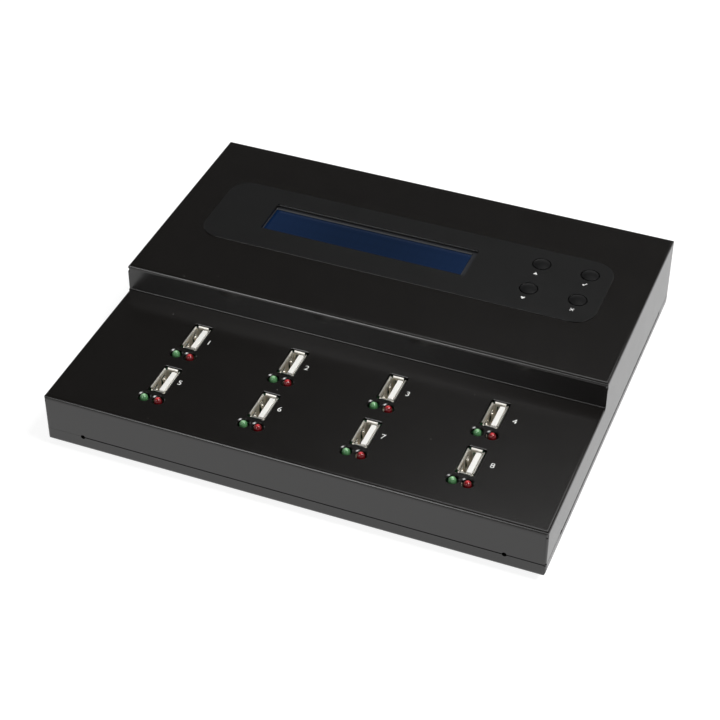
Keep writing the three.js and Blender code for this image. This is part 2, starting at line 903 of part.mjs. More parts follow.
function buildShell() {
  const innerWidth = shell.width - 2 * shell.wall;
  const innerDepth = shell.depth - 2 * shell.wall;
  const innerRadius = shell.radius - shell.wall;
  const flareBase = shell.height - shell.flareHeight;
  const wider = 2 * shell.flare;
  const inner = plate(innerWidth, innerDepth, innerRadius);
  const outer = plate(shell.width, shell.depth, shell.radius);
  const tube = cut(
    joined(
      alongZ(outer, 0, flareBase),
      lofted(
        outer,
        plate(shell.width + wider, shell.depth + wider, shell.radius + shell.flare),
        flareBase,
        shell.height,
      ),
    ),
    alongZ(inner, -fit.overrun, shell.height + fit.overrun),
    lofted(
      inner,
      plate(innerWidth + wider, innerDepth + wider, innerRadius + shell.flare),
      flareBase,
      shell.height,
    ),
  );
  const top = shell.height - leaf.topDrop;
  const bottom = top - leaf.length;
  const slotHeight = leaf.length + leaf.slot;
  const slotMiddle = top + leaf.slot - slotHeight / 2;

  // Two leaves in the wide wall that faces the contacts, one in each narrow wall.
  const wideFace = -shell.width / 2;
  const sides = [-leaf.offset, leaf.offset];
  const wideSlots = sides.map((y) => alongX(
    plate(leaf.width + 2 * leaf.slot, slotHeight, 0, y, slotMiddle),
    wideFace - fit.overrun,
    wideFace + shell.wall + leaf.thickness,
  ));
  const wideLeaves = sides.map((y) => alongY(
    filleted(leafSection(leaf.bulge).map(([inward, z]) => [wideFace + shell.wall + inward, z])),
    y - leaf.width / 2,
    y + leaf.width / 2,
  ));
  const ends = [-1, 1];
  const endSlots = ends.map((side) => {
    const face = side * (shell.depth / 2);
    const reach = side * (shell.wall + leaf.thickness);
    const outer = face + side * fit.overrun;
    return alongY(
      plate(leaf.endWidth + 2 * leaf.slot, slotHeight, 0, 0, slotMiddle),
      Math.min(face - reach, outer),
      Math.max(face - reach, outer),
    );
  });
  const endLeaves = ends.map((side) => {
    const face = side * (shell.depth / 2 - shell.wall);
    const section = leafSection(leaf.endBulge).map(([inward, z]) => [face - side * inward, z]);
    return alongX(filleted(section), -leaf.endWidth / 2, leaf.endWidth / 2);
  });
  return joined(cut(tube, ...wideSlots, ...endSlots), ...wideLeaves, ...endLeaves);
}

/** Moulded insert: a base that fills the foot of the shell and a tongue with four contacts. */
function buildInsert() {
  const baseWidth = shell.width - 2 * shell.wall - 2 * insert.slack;
  const baseDepth = shell.depth - 2 * shell.wall - 2 * insert.slack;
  const tongueRight = shell.width / 2 - shell.wall - insert.tongueGap;
  const tongueLeft = tongueRight - insert.tongueWidth;
  const tip = shell.height - insert.tongueDrop;
  const root = insert.baseHeight / 2;
  const tongue = alongY(
    filleted([
      [tongueLeft, root],
      [tongueRight, root],
      [tongueRight, tip - insert.tipChamfer],
      [tongueRight - insert.tipChamfer, tip],
      [tongueLeft + insert.tipChamfer, tip],
      [tongueLeft, tip - insert.tipChamfer],
    ]),
    -insert.tongueDepth / 2,
    insert.tongueDepth / 2,
  );
  const inner = insert.contactPitchInner / 2;
  const outer = inner + insert.contactPitchOuter;
  const contacts = [-outer, -inner, inner, outer].map((y) => alongZ(
    plate(2 * insert.contactThickness, insert.contactWidth, 0, tongueLeft, y),
    root,
    tip - insert.contactDrop,
  ));
  const base = alongZ(
    plate(baseWidth, baseDepth, shell.radius - shell.wall), fit.glue, insert.baseHeight,
  );
  return joined(base, tongue, ...contacts);
}

/** LED with its dome up: the flange's underside at 0, two leads down to the board. */
function buildLamp() {
  const radius = lamp.diameter / 2;
  const domeBase = lamp.bodyHeight - radius;
  const dome = domeShares.map((share) => {
    const angle = (share * Math.PI) / 2;
    return [radius * Math.cos(angle), domeBase + radius * Math.sin(angle)];
  });
  const body = turned([
    [0, 0],
    [lamp.flangeDiameter / 2, 0],
    [lamp.flangeDiameter / 2, lamp.flangeHeight],
    [radius, lamp.flangeHeight],
    [radius, domeBase],
    ...dome,
    [0, lamp.bodyHeight],
  ], facets.lamp);
  const leads = [-lamp.leadPitch / 2, lamp.leadPitch / 2].map((x) => alongZ(
    plate(lamp.leadSize, lamp.leadSize, 0, x),
    -lampDrop,
    lamp.flangeHeight / 2,
  ));
  return joined(body, ...leads);
}

// Boards

function buildMainBoard() {
  const laminate = alongZ(
    plate(2 * boardHalf, boardRear - boardFront, mainBoard.radius, 0, (boardFront + boardRear) / 2),
    boardBottom,
    boardTop,
  );
  const low = boardTop - chip.sink;
  const box = (width, long, height, x, y) => (
    alongZ(plate(width, long, 0, x, y), low, boardTop + height)
  );
  const drumY = controllerY + chip.drumSetback;
  const drum = (x) => alongZ(disc(chip.drum, x, drumY, facets.small), low, boardTop + chip.drumHeight);
  const heads = standoffs.map(([x, y]) => (
    alongZ(disc(standoff.screwHead, x, y, facets.small), low, boardTop + standoff.screwHeadHeight)
  ));
  return joined(
    laminate,
    box(chip.controller, chip.controller, chip.controllerHeight, 0, controllerY),
    box(chip.hub, chip.hub, chip.hubHeight, -chip.hubX, controllerY),
    box(chip.hub, chip.hub, chip.hubHeight, chip.hubX, controllerY),
    box(
      chip.memoryWidth, chip.memoryDepth, chip.memoryHeight, chip.memoryX, controllerY + chip.memorySetback,
    ),
    box(chip.coil, chip.coil, chip.coilHeight, inletX + chip.coilShift, boardRear - chip.coilRearInset),
    box(ribbon.plugWidth, ribbon.plugDepth, ribbon.lowerPlugHeight, ribbon.centreX, lowerPlugY),
    drum(chip.drumX),
    drum(chip.drumX + chip.drumPitch),
    ...heads,
  );
}

function buildControlBoard() {
  const notchLeft = inletX - inlet.width / 2 - controlBoard.notchGap;
  const notchRight = switchX + powerSwitch.width / 2 + controlBoard.notchGap;
  const notchFront = rearFace - inlet.depth - controlBoard.notchGap;
  const laminate = alongZ(
    filleted([
      [-controlHalf, controlFront, controlBoard.radius],
      [controlHalf, controlFront, controlBoard.radius],
      [controlHalf, controlRear, controlBoard.radius],
      [notchRight, controlRear, controlBoard.radius],
      [notchRight, notchFront, controlBoard.radius],
      [notchLeft, notchFront, controlBoard.radius],
      [notchLeft, controlRear, controlBoard.radius],
      [-controlHalf, controlRear, controlBoard.radius],
    ], facets.corner),
    controlBottom,
    controlTop,
  );
  const plug = alongZ(
    plate(ribbon.plugWidth, ribbon.plugDepth, 0, ribbon.centreX, upperPlugY),
    controlBottom - ribbon.upperPlugHeight,
    controlBottom + chip.sink,
  );
  const heads = studs.map(([x, y]) => alongZ(
    disc(standoff.screwHead, x, y, facets.small),
    controlBottom - standoff.screwHeadHeight,
    controlBottom + chip.sink,
  ));
  return joined(laminate, plug, ...heads);
}

/** Flat cable that leaves the lower plug to the rear, climbs, and enters the upper plug. */
function buildRibbon() {
  const lowZ = boardTop + ribbon.lowerPlugHeight / 2;
  const highZ = controlBottom - ribbon.upperPlugHeight / 2;
  const start = lowerPlugY + ribbon.plugDepth / 2 + fit.seat;
  const end = upperPlugY - ribbon.plugDepth / 2 - fit.seat;
  const reach = (end - start) / 2;
  const course = new THREE.CubicBezierCurve(
    new THREE.Vector2(start, lowZ),
    new THREE.Vector2(start + reach, lowZ),
    new THREE.Vector2(end - reach, highZ),
    new THREE.Vector2(end, highZ),
  );
  const steps = 10;
  const upper = [];
  const lower = [];
  for (let k = 0; k <= steps; k += 1) {
    const along = course.getPoint(k / steps);
    const tangent = k === 0 || k === steps ? new THREE.Vector2(1, 0) : course.getTangent(k / steps);
    const offset = new THREE.Vector2(-tangent.y, tangent.x).multiplyScalar(ribbon.thickness / 2);
    upper.push(along.clone().add(offset));
    lower.push(along.clone().sub(offset));
  }
  const strip = new THREE.Shape([...lower, ...upper.reverse()]);
  return alongX(strip, ribbon.centreX - ribbon.width / 2, ribbon.centreX + ribbon.width / 2);
}

// Display and keys

function buildFilm() {
  const outline = filleted([
    [filmLeft, filmFront, film.radius],
    [filmRight, filmFront, film.radius],
    [filmRight, filmRear, film.radius],
    [filmLeft, filmRear, film.radius],
  ]);
  const low = casing.height + fit.glue;
  const opening = plate(windowCut.width, windowCut.depth, windowCut.radius, windowX, windowY);
  return cut(
    alongZ(outline, low, filmTop),
    alongZ(opening, low - fit.overrun, filmTop + fit.overrun),
    ...panelKeys.map(({ x, y }) => (
      alongZ(disc(key.holeDiameter, x, y), low - fit.overrun, filmTop + fit.overrun)
    )),
  );
}

function buildBezel() {
  const sheet = display.bezelSheet;
  const outer = plate(display.bezelWidth, display.bezelDepth, display.bezelRadius, displayX, displayY);
  const hollow = plate(
    display.bezelWidth - 2 * sheet, display.bezelDepth - 2 * sheet, 0, displayX, displayY,
  );
  const opening = plate(display.openingWidth, display.openingDepth, 0, displayX, displayY);
  return cut(
    alongZ(outer, bezelBottom, bezelTop),
    alongZ(hollow, bezelBottom - fit.overrun, bezelTop - sheet),
    alongZ(opening, bezelTop - sheet - fit.overrun, bezelTop + fit.overrun),
  );
}

function buildCell() {
  const margin = 2 * (display.bezelSheet + display.cellMargin);
  return alongZ(
    plate(display.bezelWidth - margin, display.bezelDepth - margin, 0, displayX, displayY),
    displayBoardTop + fit.seat,
    bezelTop - display.bezelSheet - fit.seat,
  );
}

function buildDisplayBoard() {
  const headerY = displayY + display.boardDepth / 2 - display.headerInset;
  return joined(
    alongZ(
      plate(display.boardWidth, display.boardDepth, 0, displayX, displayY),
      displayBoardBottom,
      displayBoardTop,
    ),
    alongZ(
      plate(display.headerWidth, display.headerDepth, 0, displayX, headerY),
      displayBoardBottom - display.headerHeight,
      displayBoardBottom + chip.sink,
    ),
  );
}

/** Round key cap with its retaining flange and the switch's plunger, on the switch's axis. */
function buildKeyCap() {
  const top = filmTop + key.proud;
  const radius = key.capDiameter / 2;
  const flangeTop = innerTop - fit.seat;
  const stemBottom = controlTop + tact.height - tact.stemReach;
  const shoulder = top - key.dome;
  return turned([
    [0, stemBottom],
    [key.stemDiameter / 2, stemBottom],
    [key.stemDiameter / 2, flangeTop - key.flangeHeight],
    [key.flangeDiameter / 2, flangeTop - key.flangeHeight],
    [key.flangeDiameter / 2, flangeTop],
    [radius, flangeTop],
    ...crownShares.map(([out, up]) => [radius * out, shoulder + key.dome * up]),
    [0, top],
  ]);
}

function buildTact() {
  const low = controlTop + fit.glue;
  const high = controlTop + tact.height;
  const boreDepth = tact.stemReach + key.travel + tact.floorGap;
  return cut(
    alongZ(plate(tact.size, tact.size), low, high),
    alongZ(disc(tact.boreDiameter, 0, 0, facets.small), high - boreDepth, high + fit.overrun),
  );
}

// Rear wall

function buildInlet() {
  const low = fit.glue;
  const axis = fit.glue + inlet.axisHeight;
  const bore = rearFace - inlet.boreDepth;
  const body = joined(
    alongY(
      filleted([
        [-inlet.width / 2, low],
        [inlet.width / 2, low],
        [inlet.width / 2, low + inlet.height],
        [-inlet.width / 2, low + inlet.height],
      ]),
      rearFace - inlet.plateDepth,
      rearFace,
    ),
    alongY(disc(inlet.barrelDiameter, 0, axis), rearFace - inlet.depth, rearFace - inlet.plateDepth / 2),
    alongY(
      filleted([
        [-inlet.width / 2, low],
        [inlet.width / 2, low],
        [inlet.width / 2, axis],
        [-inlet.width / 2, axis],
      ]),
      rearFace - inlet.depth,
      rearFace - inlet.plateDepth / 2,
    ),
  );
  return joined(
    cut(body, alongY(disc(inlet.boreDiameter, 0, axis), bore, rearFace + fit.overrun)),
    alongY(disc(inlet.pinDiameter, 0, axis, facets.small), bore - fit.running, rearFace - inlet.pinDrop),
  );
}

function buildSwitchHousing() {
  const middle = fit.glue + powerSwitch.height / 2;
  const pocketWidth = powerSwitch.width - 2 * powerSwitch.wall;
  const pocketHeight = powerSwitch.height - 2 * powerSwitch.wall;
  const pinReach = rocker.width / 2 + rocker.pinLength + fit.seat;
  const pinHole = disc(
    rocker.pinDiameter + fit.running, 0, rearFace - rocker.pivotDepth, facets.small,
  );
  return cut(
    alongY(
      plate(powerSwitch.width, powerSwitch.height, powerSwitch.radius, 0, middle),
      rearFace - powerSwitch.depth,
      rearFace,
    ),
    alongY(
      plate(pocketWidth, pocketHeight, 0, 0, middle),
      rearFace - powerSwitch.pocketDepth,
      rearFace + fit.overrun,
    ),
    alongZ(pinHole, middle - pinReach, middle + pinReach),
  );
}

/** Rocker about its pivot, pressed in on one side, with its two pins. */
function buildRocker() {
  const arc = (from, to) => {
    const steps = 4;
    return Array.from({ length: steps + 1 }, (_, k) => {
      const angle = from + ((to - from) * k) / steps;
      return [rocker.endRadius * Math.cos(angle), rocker.endRadius * Math.sin(angle)];
    });
  };
  const { crest, skirt } = rockerAngles;
  const outline = filleted([
    ...arc(skirt, crest),
    [0, rocker.valley],
    ...arc(Math.PI - crest, Math.PI - skirt),
    [-rocker.keelHalfWidth, -rocker.keel + rocker.keelRise],
    [0, -rocker.keel],
    [rocker.keelHalfWidth, -rocker.keel + rocker.keelRise],
  ]);
  const pinHalf = rocker.width / 2 + rocker.pinLength;
  return joined(
    alongZ(outline, -rocker.width / 2, rocker.width / 2),
    alongZ(disc(rocker.pinDiameter, 0, 0, facets.small), -pinHalf, pinHalf),
  );
}

// Assembly: the feet stand on Z = 0, and the outline is centred on the origin.

const duplicator = new THREE.Group();
const carcass = new THREE.Group();
carcass.position.set(0, -overallDepth / 2, foot.height + fit.glue);
duplicator.add(carcass);

carcass.add(piece('top_cover', buildCover(), materials.paint));
carcass.add(piece('base_pan', buildPan(), materials.paint));

const shellBody = buildShell();
const insertBody = buildInsert();
const lampBody = buildLamp();
ports.forEach(({ x, y }, i) => {
  const socket = new THREE.Group();
  socket.position.set(x, y, boardTop);
  const housing = piece(`usb_shell_${i + 1}`, shellBody, materials.nickel);
  housing.position.z = fit.glue;
  const moulding = piece(`usb_insert_${i + 1}`, insertBody, materials.ivory);
  moulding.position.z = fit.glue;
  const green = piece(`led_green_${i + 1}`, lampBody, materials.green);
  green.position.set(-lamp.offsetX, -lamp.offsetY, lampBase);
  const red = piece(`led_red_${i + 1}`, lampBody, materials.red);
  red.position.set(lamp.offsetX, -lamp.offsetY, lampBase);
  socket.add(housing, moulding, green, red);
  carcass.add(socket);
});

const panel = new THREE.Group();
panel.add(
  piece('panel_film', buildFilm(), materials.film),
  piece('lcd_bezel', buildBezel(), materials.bezel),
  piece('lcd_cell', buildCell(), materials.cell),
  piece('lcd_board', buildDisplayBoard(), materials.laminate),
  piece('control_board', buildControlBoard(), materials.laminate),
);
const capBody = buildKeyCap();
const tactBody = buildTact();
panelKeys.forEach(({ name, x, y }) => {
  const cap = piece(`key_cap_${name}`, capBody, materials.keys);
  const tactSwitch = piece(`tact_switch_${name}`, tactBody, materials.plastic);
  cap.position.set(x, y, 0);
  tactSwitch.position.set(x, y, 0);
  panel.add(cap, tactSwitch);
});
carcass.add(panel);

carcass.add(piece('main_board', buildMainBoard(), materials.laminate));
carcass.add(piece('ribbon_cable', buildRibbon(), materials.cable));

const dcInlet = piece('dc_inlet', buildInlet(), materials.plastic);
dcInlet.position.set(inletX, 0, boardTop);
const switchHousing = piece('power_switch', buildSwitchHousing(), materials.plastic);
switchHousing.position.set(switchX, 0, boardTop);
const powerRocker = piece('power_rocker', buildRocker(), materials.plastic);
powerRocker.position.set(
  switchX, rearFace - rocker.pivotDepth, boardTop + fit.glue + powerSwitch.height / 2,
);
powerRocker.rotation.z = -rockerAngles.tilt;
carcass.add(dcInlet, switchHousing, powerRocker);

const footBody = buildFoot();
const footPlaces = [foot.frontMargin, casing.depth - foot.rearMargin].flatMap((y) => [
  [-footX, y],
  [footX, y],
]);
footPlaces.forEach(([x, y], i) => {
  const rubber = piece(`rubber_foot_${i + 1}`, footBody, materials.rubber);
  rubber.position.set(x, y, -foot.height - fit.glue);
  carcass.add(rubber);
});

const lowerScrew = buildScrew(post.screwLength);
const wallScrew = buildScrew(rearScrew.length);
[-postX, postX].forEach((x, i) => {
  const fastener = piece(`cover_screw_${i + 1}`, lowerScrew, materials.steel);
  fastener.position.set(x, post.frontMargin, -fit.seat);
  carcass.add(fastener);
});
[-rearScrewX, rearScrewX].forEach((x, i) => {
  const fastener = piece(`cover_screw_${i + 3}`, wallScrew, materials.steel);
  fastener.rotation.x = Math.PI / 2;
  fastener.position.set(x, casing.depth + fit.seat, rearScrew.z);
  carcass.add(fastener);
});

export default duplicator;
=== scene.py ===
"""Dressed model of a stand-alone duplicator for USB flash drives.

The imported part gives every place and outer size, in metres, with X to the right, Y to the rear and
Z up. Each class builds one sub-assembly as fine meshes, dresses it with procedural finishes, and
lets it ride on the body that carries it. A field that holds several sizes is a tuple, and the line
that unpacks it names them.
"""

import logging
import math
from dataclasses import dataclass
from enum import Enum
from typing import Iterable, Sequence

import bmesh
import bpy
from mathutils import Matrix, Vector

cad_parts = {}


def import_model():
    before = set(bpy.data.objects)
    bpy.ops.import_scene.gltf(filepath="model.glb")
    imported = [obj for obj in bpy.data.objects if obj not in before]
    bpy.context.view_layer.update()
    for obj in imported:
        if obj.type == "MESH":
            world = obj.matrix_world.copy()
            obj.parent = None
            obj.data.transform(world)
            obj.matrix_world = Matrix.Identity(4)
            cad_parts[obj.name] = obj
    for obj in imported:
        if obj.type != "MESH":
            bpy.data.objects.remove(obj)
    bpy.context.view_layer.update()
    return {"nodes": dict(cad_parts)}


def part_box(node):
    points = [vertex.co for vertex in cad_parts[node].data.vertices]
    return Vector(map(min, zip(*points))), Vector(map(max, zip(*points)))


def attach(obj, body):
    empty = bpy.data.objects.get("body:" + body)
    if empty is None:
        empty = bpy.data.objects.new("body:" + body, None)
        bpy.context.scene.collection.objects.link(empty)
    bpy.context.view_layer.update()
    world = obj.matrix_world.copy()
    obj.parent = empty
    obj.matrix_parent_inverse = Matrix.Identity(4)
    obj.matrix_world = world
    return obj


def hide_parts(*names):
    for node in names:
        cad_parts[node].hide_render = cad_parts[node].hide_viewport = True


log = logging.getLogger("duplicator")

MM = 0.001
OVERRUN = 2.0 * MM
QUARTER = math.pi / 2
CASING = "casing"
NUMBERS = range(1, 9)
FRONT_SCREWS = (1, 2)
REAR_SCREWS = (3, 4)

Mesh = bpy.types.Mesh
Node = bpy.types.Node
Socket = bpy.types.NodeSocket
Point = tuple[float, float]
Triple = tuple[float, float, float]
Ring = tuple[Sequence[Point], float]


def mm(*values: float) -> tuple[float, ...]:
    """Lengths in millimetres, as metres."""
    return tuple(value * MM for value in values)


STUDS = (mm(-89.0, 57.3), mm(-88.2, 20.7), mm(-3.7, 75.7), mm(88.1, 70.5))
PANEL_TOP = 35.25 * MM


class Axis(Enum):
    """Direction that an outline is drawn out along, as the order of its coordinates."""

    X = (2, 0, 1)
    Y = (0, 2, 1)
    Z = (0, 1, 2)

    def place(self, *values: float) -> Vector:
        """Point in space of an outline's point (u, v) at a distance w along the axis."""
        return Vector([values[i] for i in self.value])


class Operation(Enum):
    """What one solid does to another."""

    JOIN = "UNION"
    CUT = "DIFFERENCE"
    COMMON = "INTERSECT"


class Box:
    """A CAD node's box at rest, with its corners, its size and its middle."""

    def __init__(self, node: str) -> None:
        """Takes the corners from the frame.

        Args:
            node: The node's name.
        """
        self.low, self.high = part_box(node)
        self.size = self.high - self.low
        self.x, self.y, self.z = ((a + b) / 2 for a, b in zip(self.low, self.high))

    @property
    def plan(self) -> Point:
        """Middle as seen from above."""
        return self.x, self.y

    @property
    def face(self) -> Point:
        """Middle as seen from the front."""
        return self.x, self.z


# Outlines


def arc(centre: Point, radius: float, start: float, end: float, steps: int) -> list[Point]:
    """Points on an arc, its two ends among them.

    Args:
        centre: Middle of the arc.
        radius: Its radius.
        start: Angle of the first point, in radians.
        end: Angle of the last point.
        steps: Segments between the two.

    Returns:
        The points in order.
    """
    angles = [start + (end - start) * k / steps for k in range(steps + 1)]
    return [(centre[0] + radius * math.cos(a), centre[1] + radius * math.sin(a)) for a in angles]


def rounded(corners: Sequence[Triple], steps: int = 8) -> list[Point]:
    """Closed outline with rounded corners.

    Args:
        corners: (u, v, radius) of each corner in order.
        steps: Segments in a quarter turn.

    Returns:
        The outline's points in order.
    """
    points: list[Point] = []
    for i, (u, v, radius) in enumerate(corners):
        if radius <= 0:
            points.append((u, v))
            continue
        here = Vector((u, v))
        back = (Vector(corners[i - 1][:2]) - here).normalized()
        ahead = (Vector(corners[(i + 1) % len(corners)][:2]) - here).normalized()
        half = back.angle(ahead) / 2
        centre = here + (back + ahead).normalized() * (radius / math.sin(half))
        start = here + back * (radius / math.tan(half)) - centre
        end = here + ahead * (radius / math.tan(half)) - centre
        sweep = math.atan2(start.x * end.y - start.y * end.x, start.dot(end))
        first = math.atan2(start.y, start.x)
        count = max(1, round(abs(sweep) / QUARTER * steps))
        points += arc((centre.x, centre.y), radius, first, first + sweep, count)
    return points


def rectangle(
    width: float, depth: float, radius: float = 0.0, at: Point = (0.0, 0.0), steps: int = 8
) -> list[Point]:
    """Rectangle centred on a point, with rounded corners.

    Args:
        width: Size along u.
        depth: Size along v.
        radius: Radius of the corners.
        at: Middle of the rectangle.
        steps: Segments in a corner.

    Returns:
        The outline's points in order.
    """
    low, high = (at[0] - width / 2, at[1] - depth / 2), (at[0] + width / 2, at[1] + depth / 2)
    return rounded([(*corner, radius) for corner in between(low, high)], steps)


def between(low: Point, high: Point) -> list[Point]:
    """Rectangle between two opposite corners."""
    return [low, (high[0], low[1]), high, (low[0], high[1])]


def circle(diameter: float, at: Point = (0.0, 0.0), count: int = 48) -> list[Point]:
    """Round outline centred on a point."""
    return arc(at, diameter / 2, 0.0, 4 * QUARTER, count)[:-1]


def domed(radius: float, steps: int) -> list[Point]:
    """Profile (radius, z) of half a ball whose top lies at 0, from its rim to the axis."""
    return [*arc((0.0, -radius), radius, 0.0, QUARTER, steps)[:-1], (0.0, 0.0)]


def strip(path: Sequence[Point], thickness: float) -> list[Point]:
    """Outline of a thin strip to the left of a path.

    Args:
        path: Points that the strip follows.
        thickness: The strip's thickness.

    Returns:
        The closed outline.
    """
    far: list[Point] = []
    for i, (u, v) in enumerate(path):
        before, after = path[max(i - 1, 0)], path[min(i + 1, len(path) - 1)]
        along = Vector((after[0] - before[0], after[1] - before[1])).normalized()
        far.append((u - along.y * thickness, v + along.x * thickness))
    return [*path, *reversed(far)]


def swing(start: float, end: float, share: float) -> float:
    """Value that goes smoothly from start to end as the share goes from 0 to 1."""
    return start + (end - start) * (0.5 - 0.5 * math.cos(math.pi * share))


# Solids


def as_mesh(shape: bmesh.types.BMesh, name: str) -> Mesh:
    """Mesh of a finished bmesh, its faces pointing out. The bmesh is freed.

    Args:
        shape: The bmesh.
        name: The mesh's name.

    Returns:
        The new mesh.
    """
    bmesh.ops.recalc_face_normals(shape, faces=shape.faces)
    mesh = bpy.data.meshes.new(name)
    shape.to_mesh(mesh)
    shape.free()
    return mesh


def skinned(rings: Sequence[Ring], axis: Axis = Axis.Z, closed: bool = False) -> Mesh:
    """Solid through rings of as many points each.

    Args:
        rings: Outlines and how far along the axis each lies.
        axis: The direction that the outlines are drawn out along.
        closed: Whether the last ring joins the first, as in a tube. Otherwise both ends are capped.

    Returns:
        The solid's mesh.
    """
    shape = bmesh.new()
    loops = [[shape.verts.new(axis.place(u, v, w)) for u, v in outline] for outline, w in rings]
    following = loops[1:] + (loops[:1] if closed else [])
    for low, high in zip(loops, following):
        for k in range(len(low)):
            after = (k + 1) % len(low)
            shape.faces.new((low[k], low[after], high[after], high[k]))
    if not closed:
        shape.faces.new(reversed(loops[0]))
        shape.faces.new(loops[-1])
    return as_mesh(shape, "skinned")


def prism(outline: Sequence[Point], start: float, end: float, axis: Axis = Axis.Z) -> Mesh:
    """Solid of one outline drawn out from start to end."""
    return skinned([(outline, start), (outline, end)], axis)


def slab(
    size: Sequence[float],
    radii: Point,
    levels: Point,
    ease: Sequence[float],
    at: Point = (0.0, 0.0),
    steps: int = 8,
    axis: Axis = Axis.Z,
) -> Mesh:
    """Block with rounded corners that narrows, or as a cutter widens, at its far end.

    Args:
        size: Its two sides.
        radii: Corner radius of its body and of its far face.
        levels: Where it starts and ends along the axis.
        ease: How far its far edge is drawn in, and over what length.
        at: Its middle.
        steps: Segments in a corner.
        axis: The axis that it is drawn out along.

    Returns:
        The block's mesh.
    """
    (width, depth), (inset, length), (start, end) = size, ease, levels
    body = rectangle(width, depth, radii[0], at, steps)
    face = rectangle(width - 2 * inset, depth - 2 * inset, radii[1], at, steps)
    return skinned([(body, start), (body, end - length), (face, end)], axis)


def bored(diameters: Point, levels: Triple, at: Point, axis: Axis = Axis.Z) -> Mesh:
    """Round cutter that widens at its mouth.

    Args:
        diameters: Diameter of its straight part and of its mouth.
        levels: Where it starts, where it begins to widen and where it ends.
        at: Its middle.
        axis: The axis that it runs along.

    Returns:
        The cutter's mesh.
    """
    tight, wide = (circle(diameter, at) for diameter in diameters)
    return skinned(list(zip((tight, tight, wide), levels)), axis)


def turned(profile: Sequence[Point], count: int = 48) -> Mesh:
    """Solid turned about Z.

    Args:
        profile: Points (radius, z), from the axis back to the axis.
        count: Segments in a turn.

    Returns:
        The solid's mesh.
    """
    shape = bmesh.new()
    loops = []
    for radius, z in profile:
        ring = circle(2 * radius, count=count) if radius > 0 else [(0.0, 0.0)]
        loops.append([shape.verts.new((x, y, z)) for x, y in ring])
    for low, high in zip(loops, loops[1:]):
        for k in range(count):
            after = (k + 1) % count
            ring = [low[k % len(low)], low[after % len(low)], high[after % len(high)], high[k % len(high)]]
            corners = list(dict.fromkeys(ring))
            if len(corners) > 2:
                shape.faces.new(corners)
    return as_mesh(shape, "turned")


def moved(mesh: Mesh, matrix: Matrix) -> Mesh:
    """The same mesh, moved by a matrix."""
    mesh.transform(matrix)
    return mesh


def together(meshes: Iterable[Mesh]) -> Mesh:
    """Several closed meshes that don't touch, as one.

    Args:
        meshes: The separate meshes.

    Returns:
        A new mesh that holds them all.
    """
    shape = bmesh.new()
    for mesh in meshes:
        shape.from_mesh(mesh)
    merged = bpy.data.meshes.new("together")
    shape.to_mesh(merged)
    shape.free()
    return merged


def placed(name: str, data: bpy.types.ID, at: Sequence[float] = (0.0, 0.0, 0.0)) -> bpy.types.Object:
    """New object of the scene.

    Args:
        name: The object's name.
        data: Its mesh, curve, light or camera.
        at: Where its origin lies.

    Returns:
        The object.
    """
    made = bpy.data.objects.new(name, data)
    made.location = at
    bpy.context.scene.collection.objects.link(made)
    return made


def baked(holder: bpy.types.Object) -> Mesh:
    """Mesh of an object with its modifiers applied."""
    graph = bpy.context.evaluated_depsgraph_get()
    return bpy.data.meshes.new_from_object(holder.evaluated_get(graph))


def combined(base: Mesh, operation: Operation, *tools: Mesh) -> Mesh:
    """Solid that several others join, cut or limit in turn.

    Args:
        base: The solid to start from.
        operation: What each tool does to it.
        tools: The other solids.

    Returns:
        A new mesh.
    """
    host = placed("host", base)
    helpers = [placed("helper", tool) for tool in tools]
    for helper in helpers:
        modifier = host.modifiers.new("boolean", "BOOLEAN")
        modifier.operation = operation.value
        modifier.solver = "MANIFOLD"
        modifier.object = helper
    result = baked(host)
    for used in (host, *helpers):
        bpy.data.objects.remove(used)
    return result


def shaded(mesh: Mesh, crease: float = 26.0) -> Mesh:
    """Smooth shading across all but sharp edges, with doubled points merged.

    Args:
        mesh: The mesh to shade.
        crease: Turn above which an edge is sharp, in degrees.

    Returns:
        The same mesh.
    """
    shape = bmesh.new()
    shape.from_mesh(mesh)
    bmesh.ops.remove_doubles(shape, verts=shape.verts, dist=0.002 * MM)
    limit = math.radians(crease)
    for face in shape.faces:
        face.smooth = True
        face.material_index = 0
    for edge in shape.edges:
        edge.smooth = len(edge.link_faces) == 2 and edge.calc_face_angle(math.pi) < limit
    shape.to_mesh(mesh)
    shape.free()
    return mesh


# Node graphs


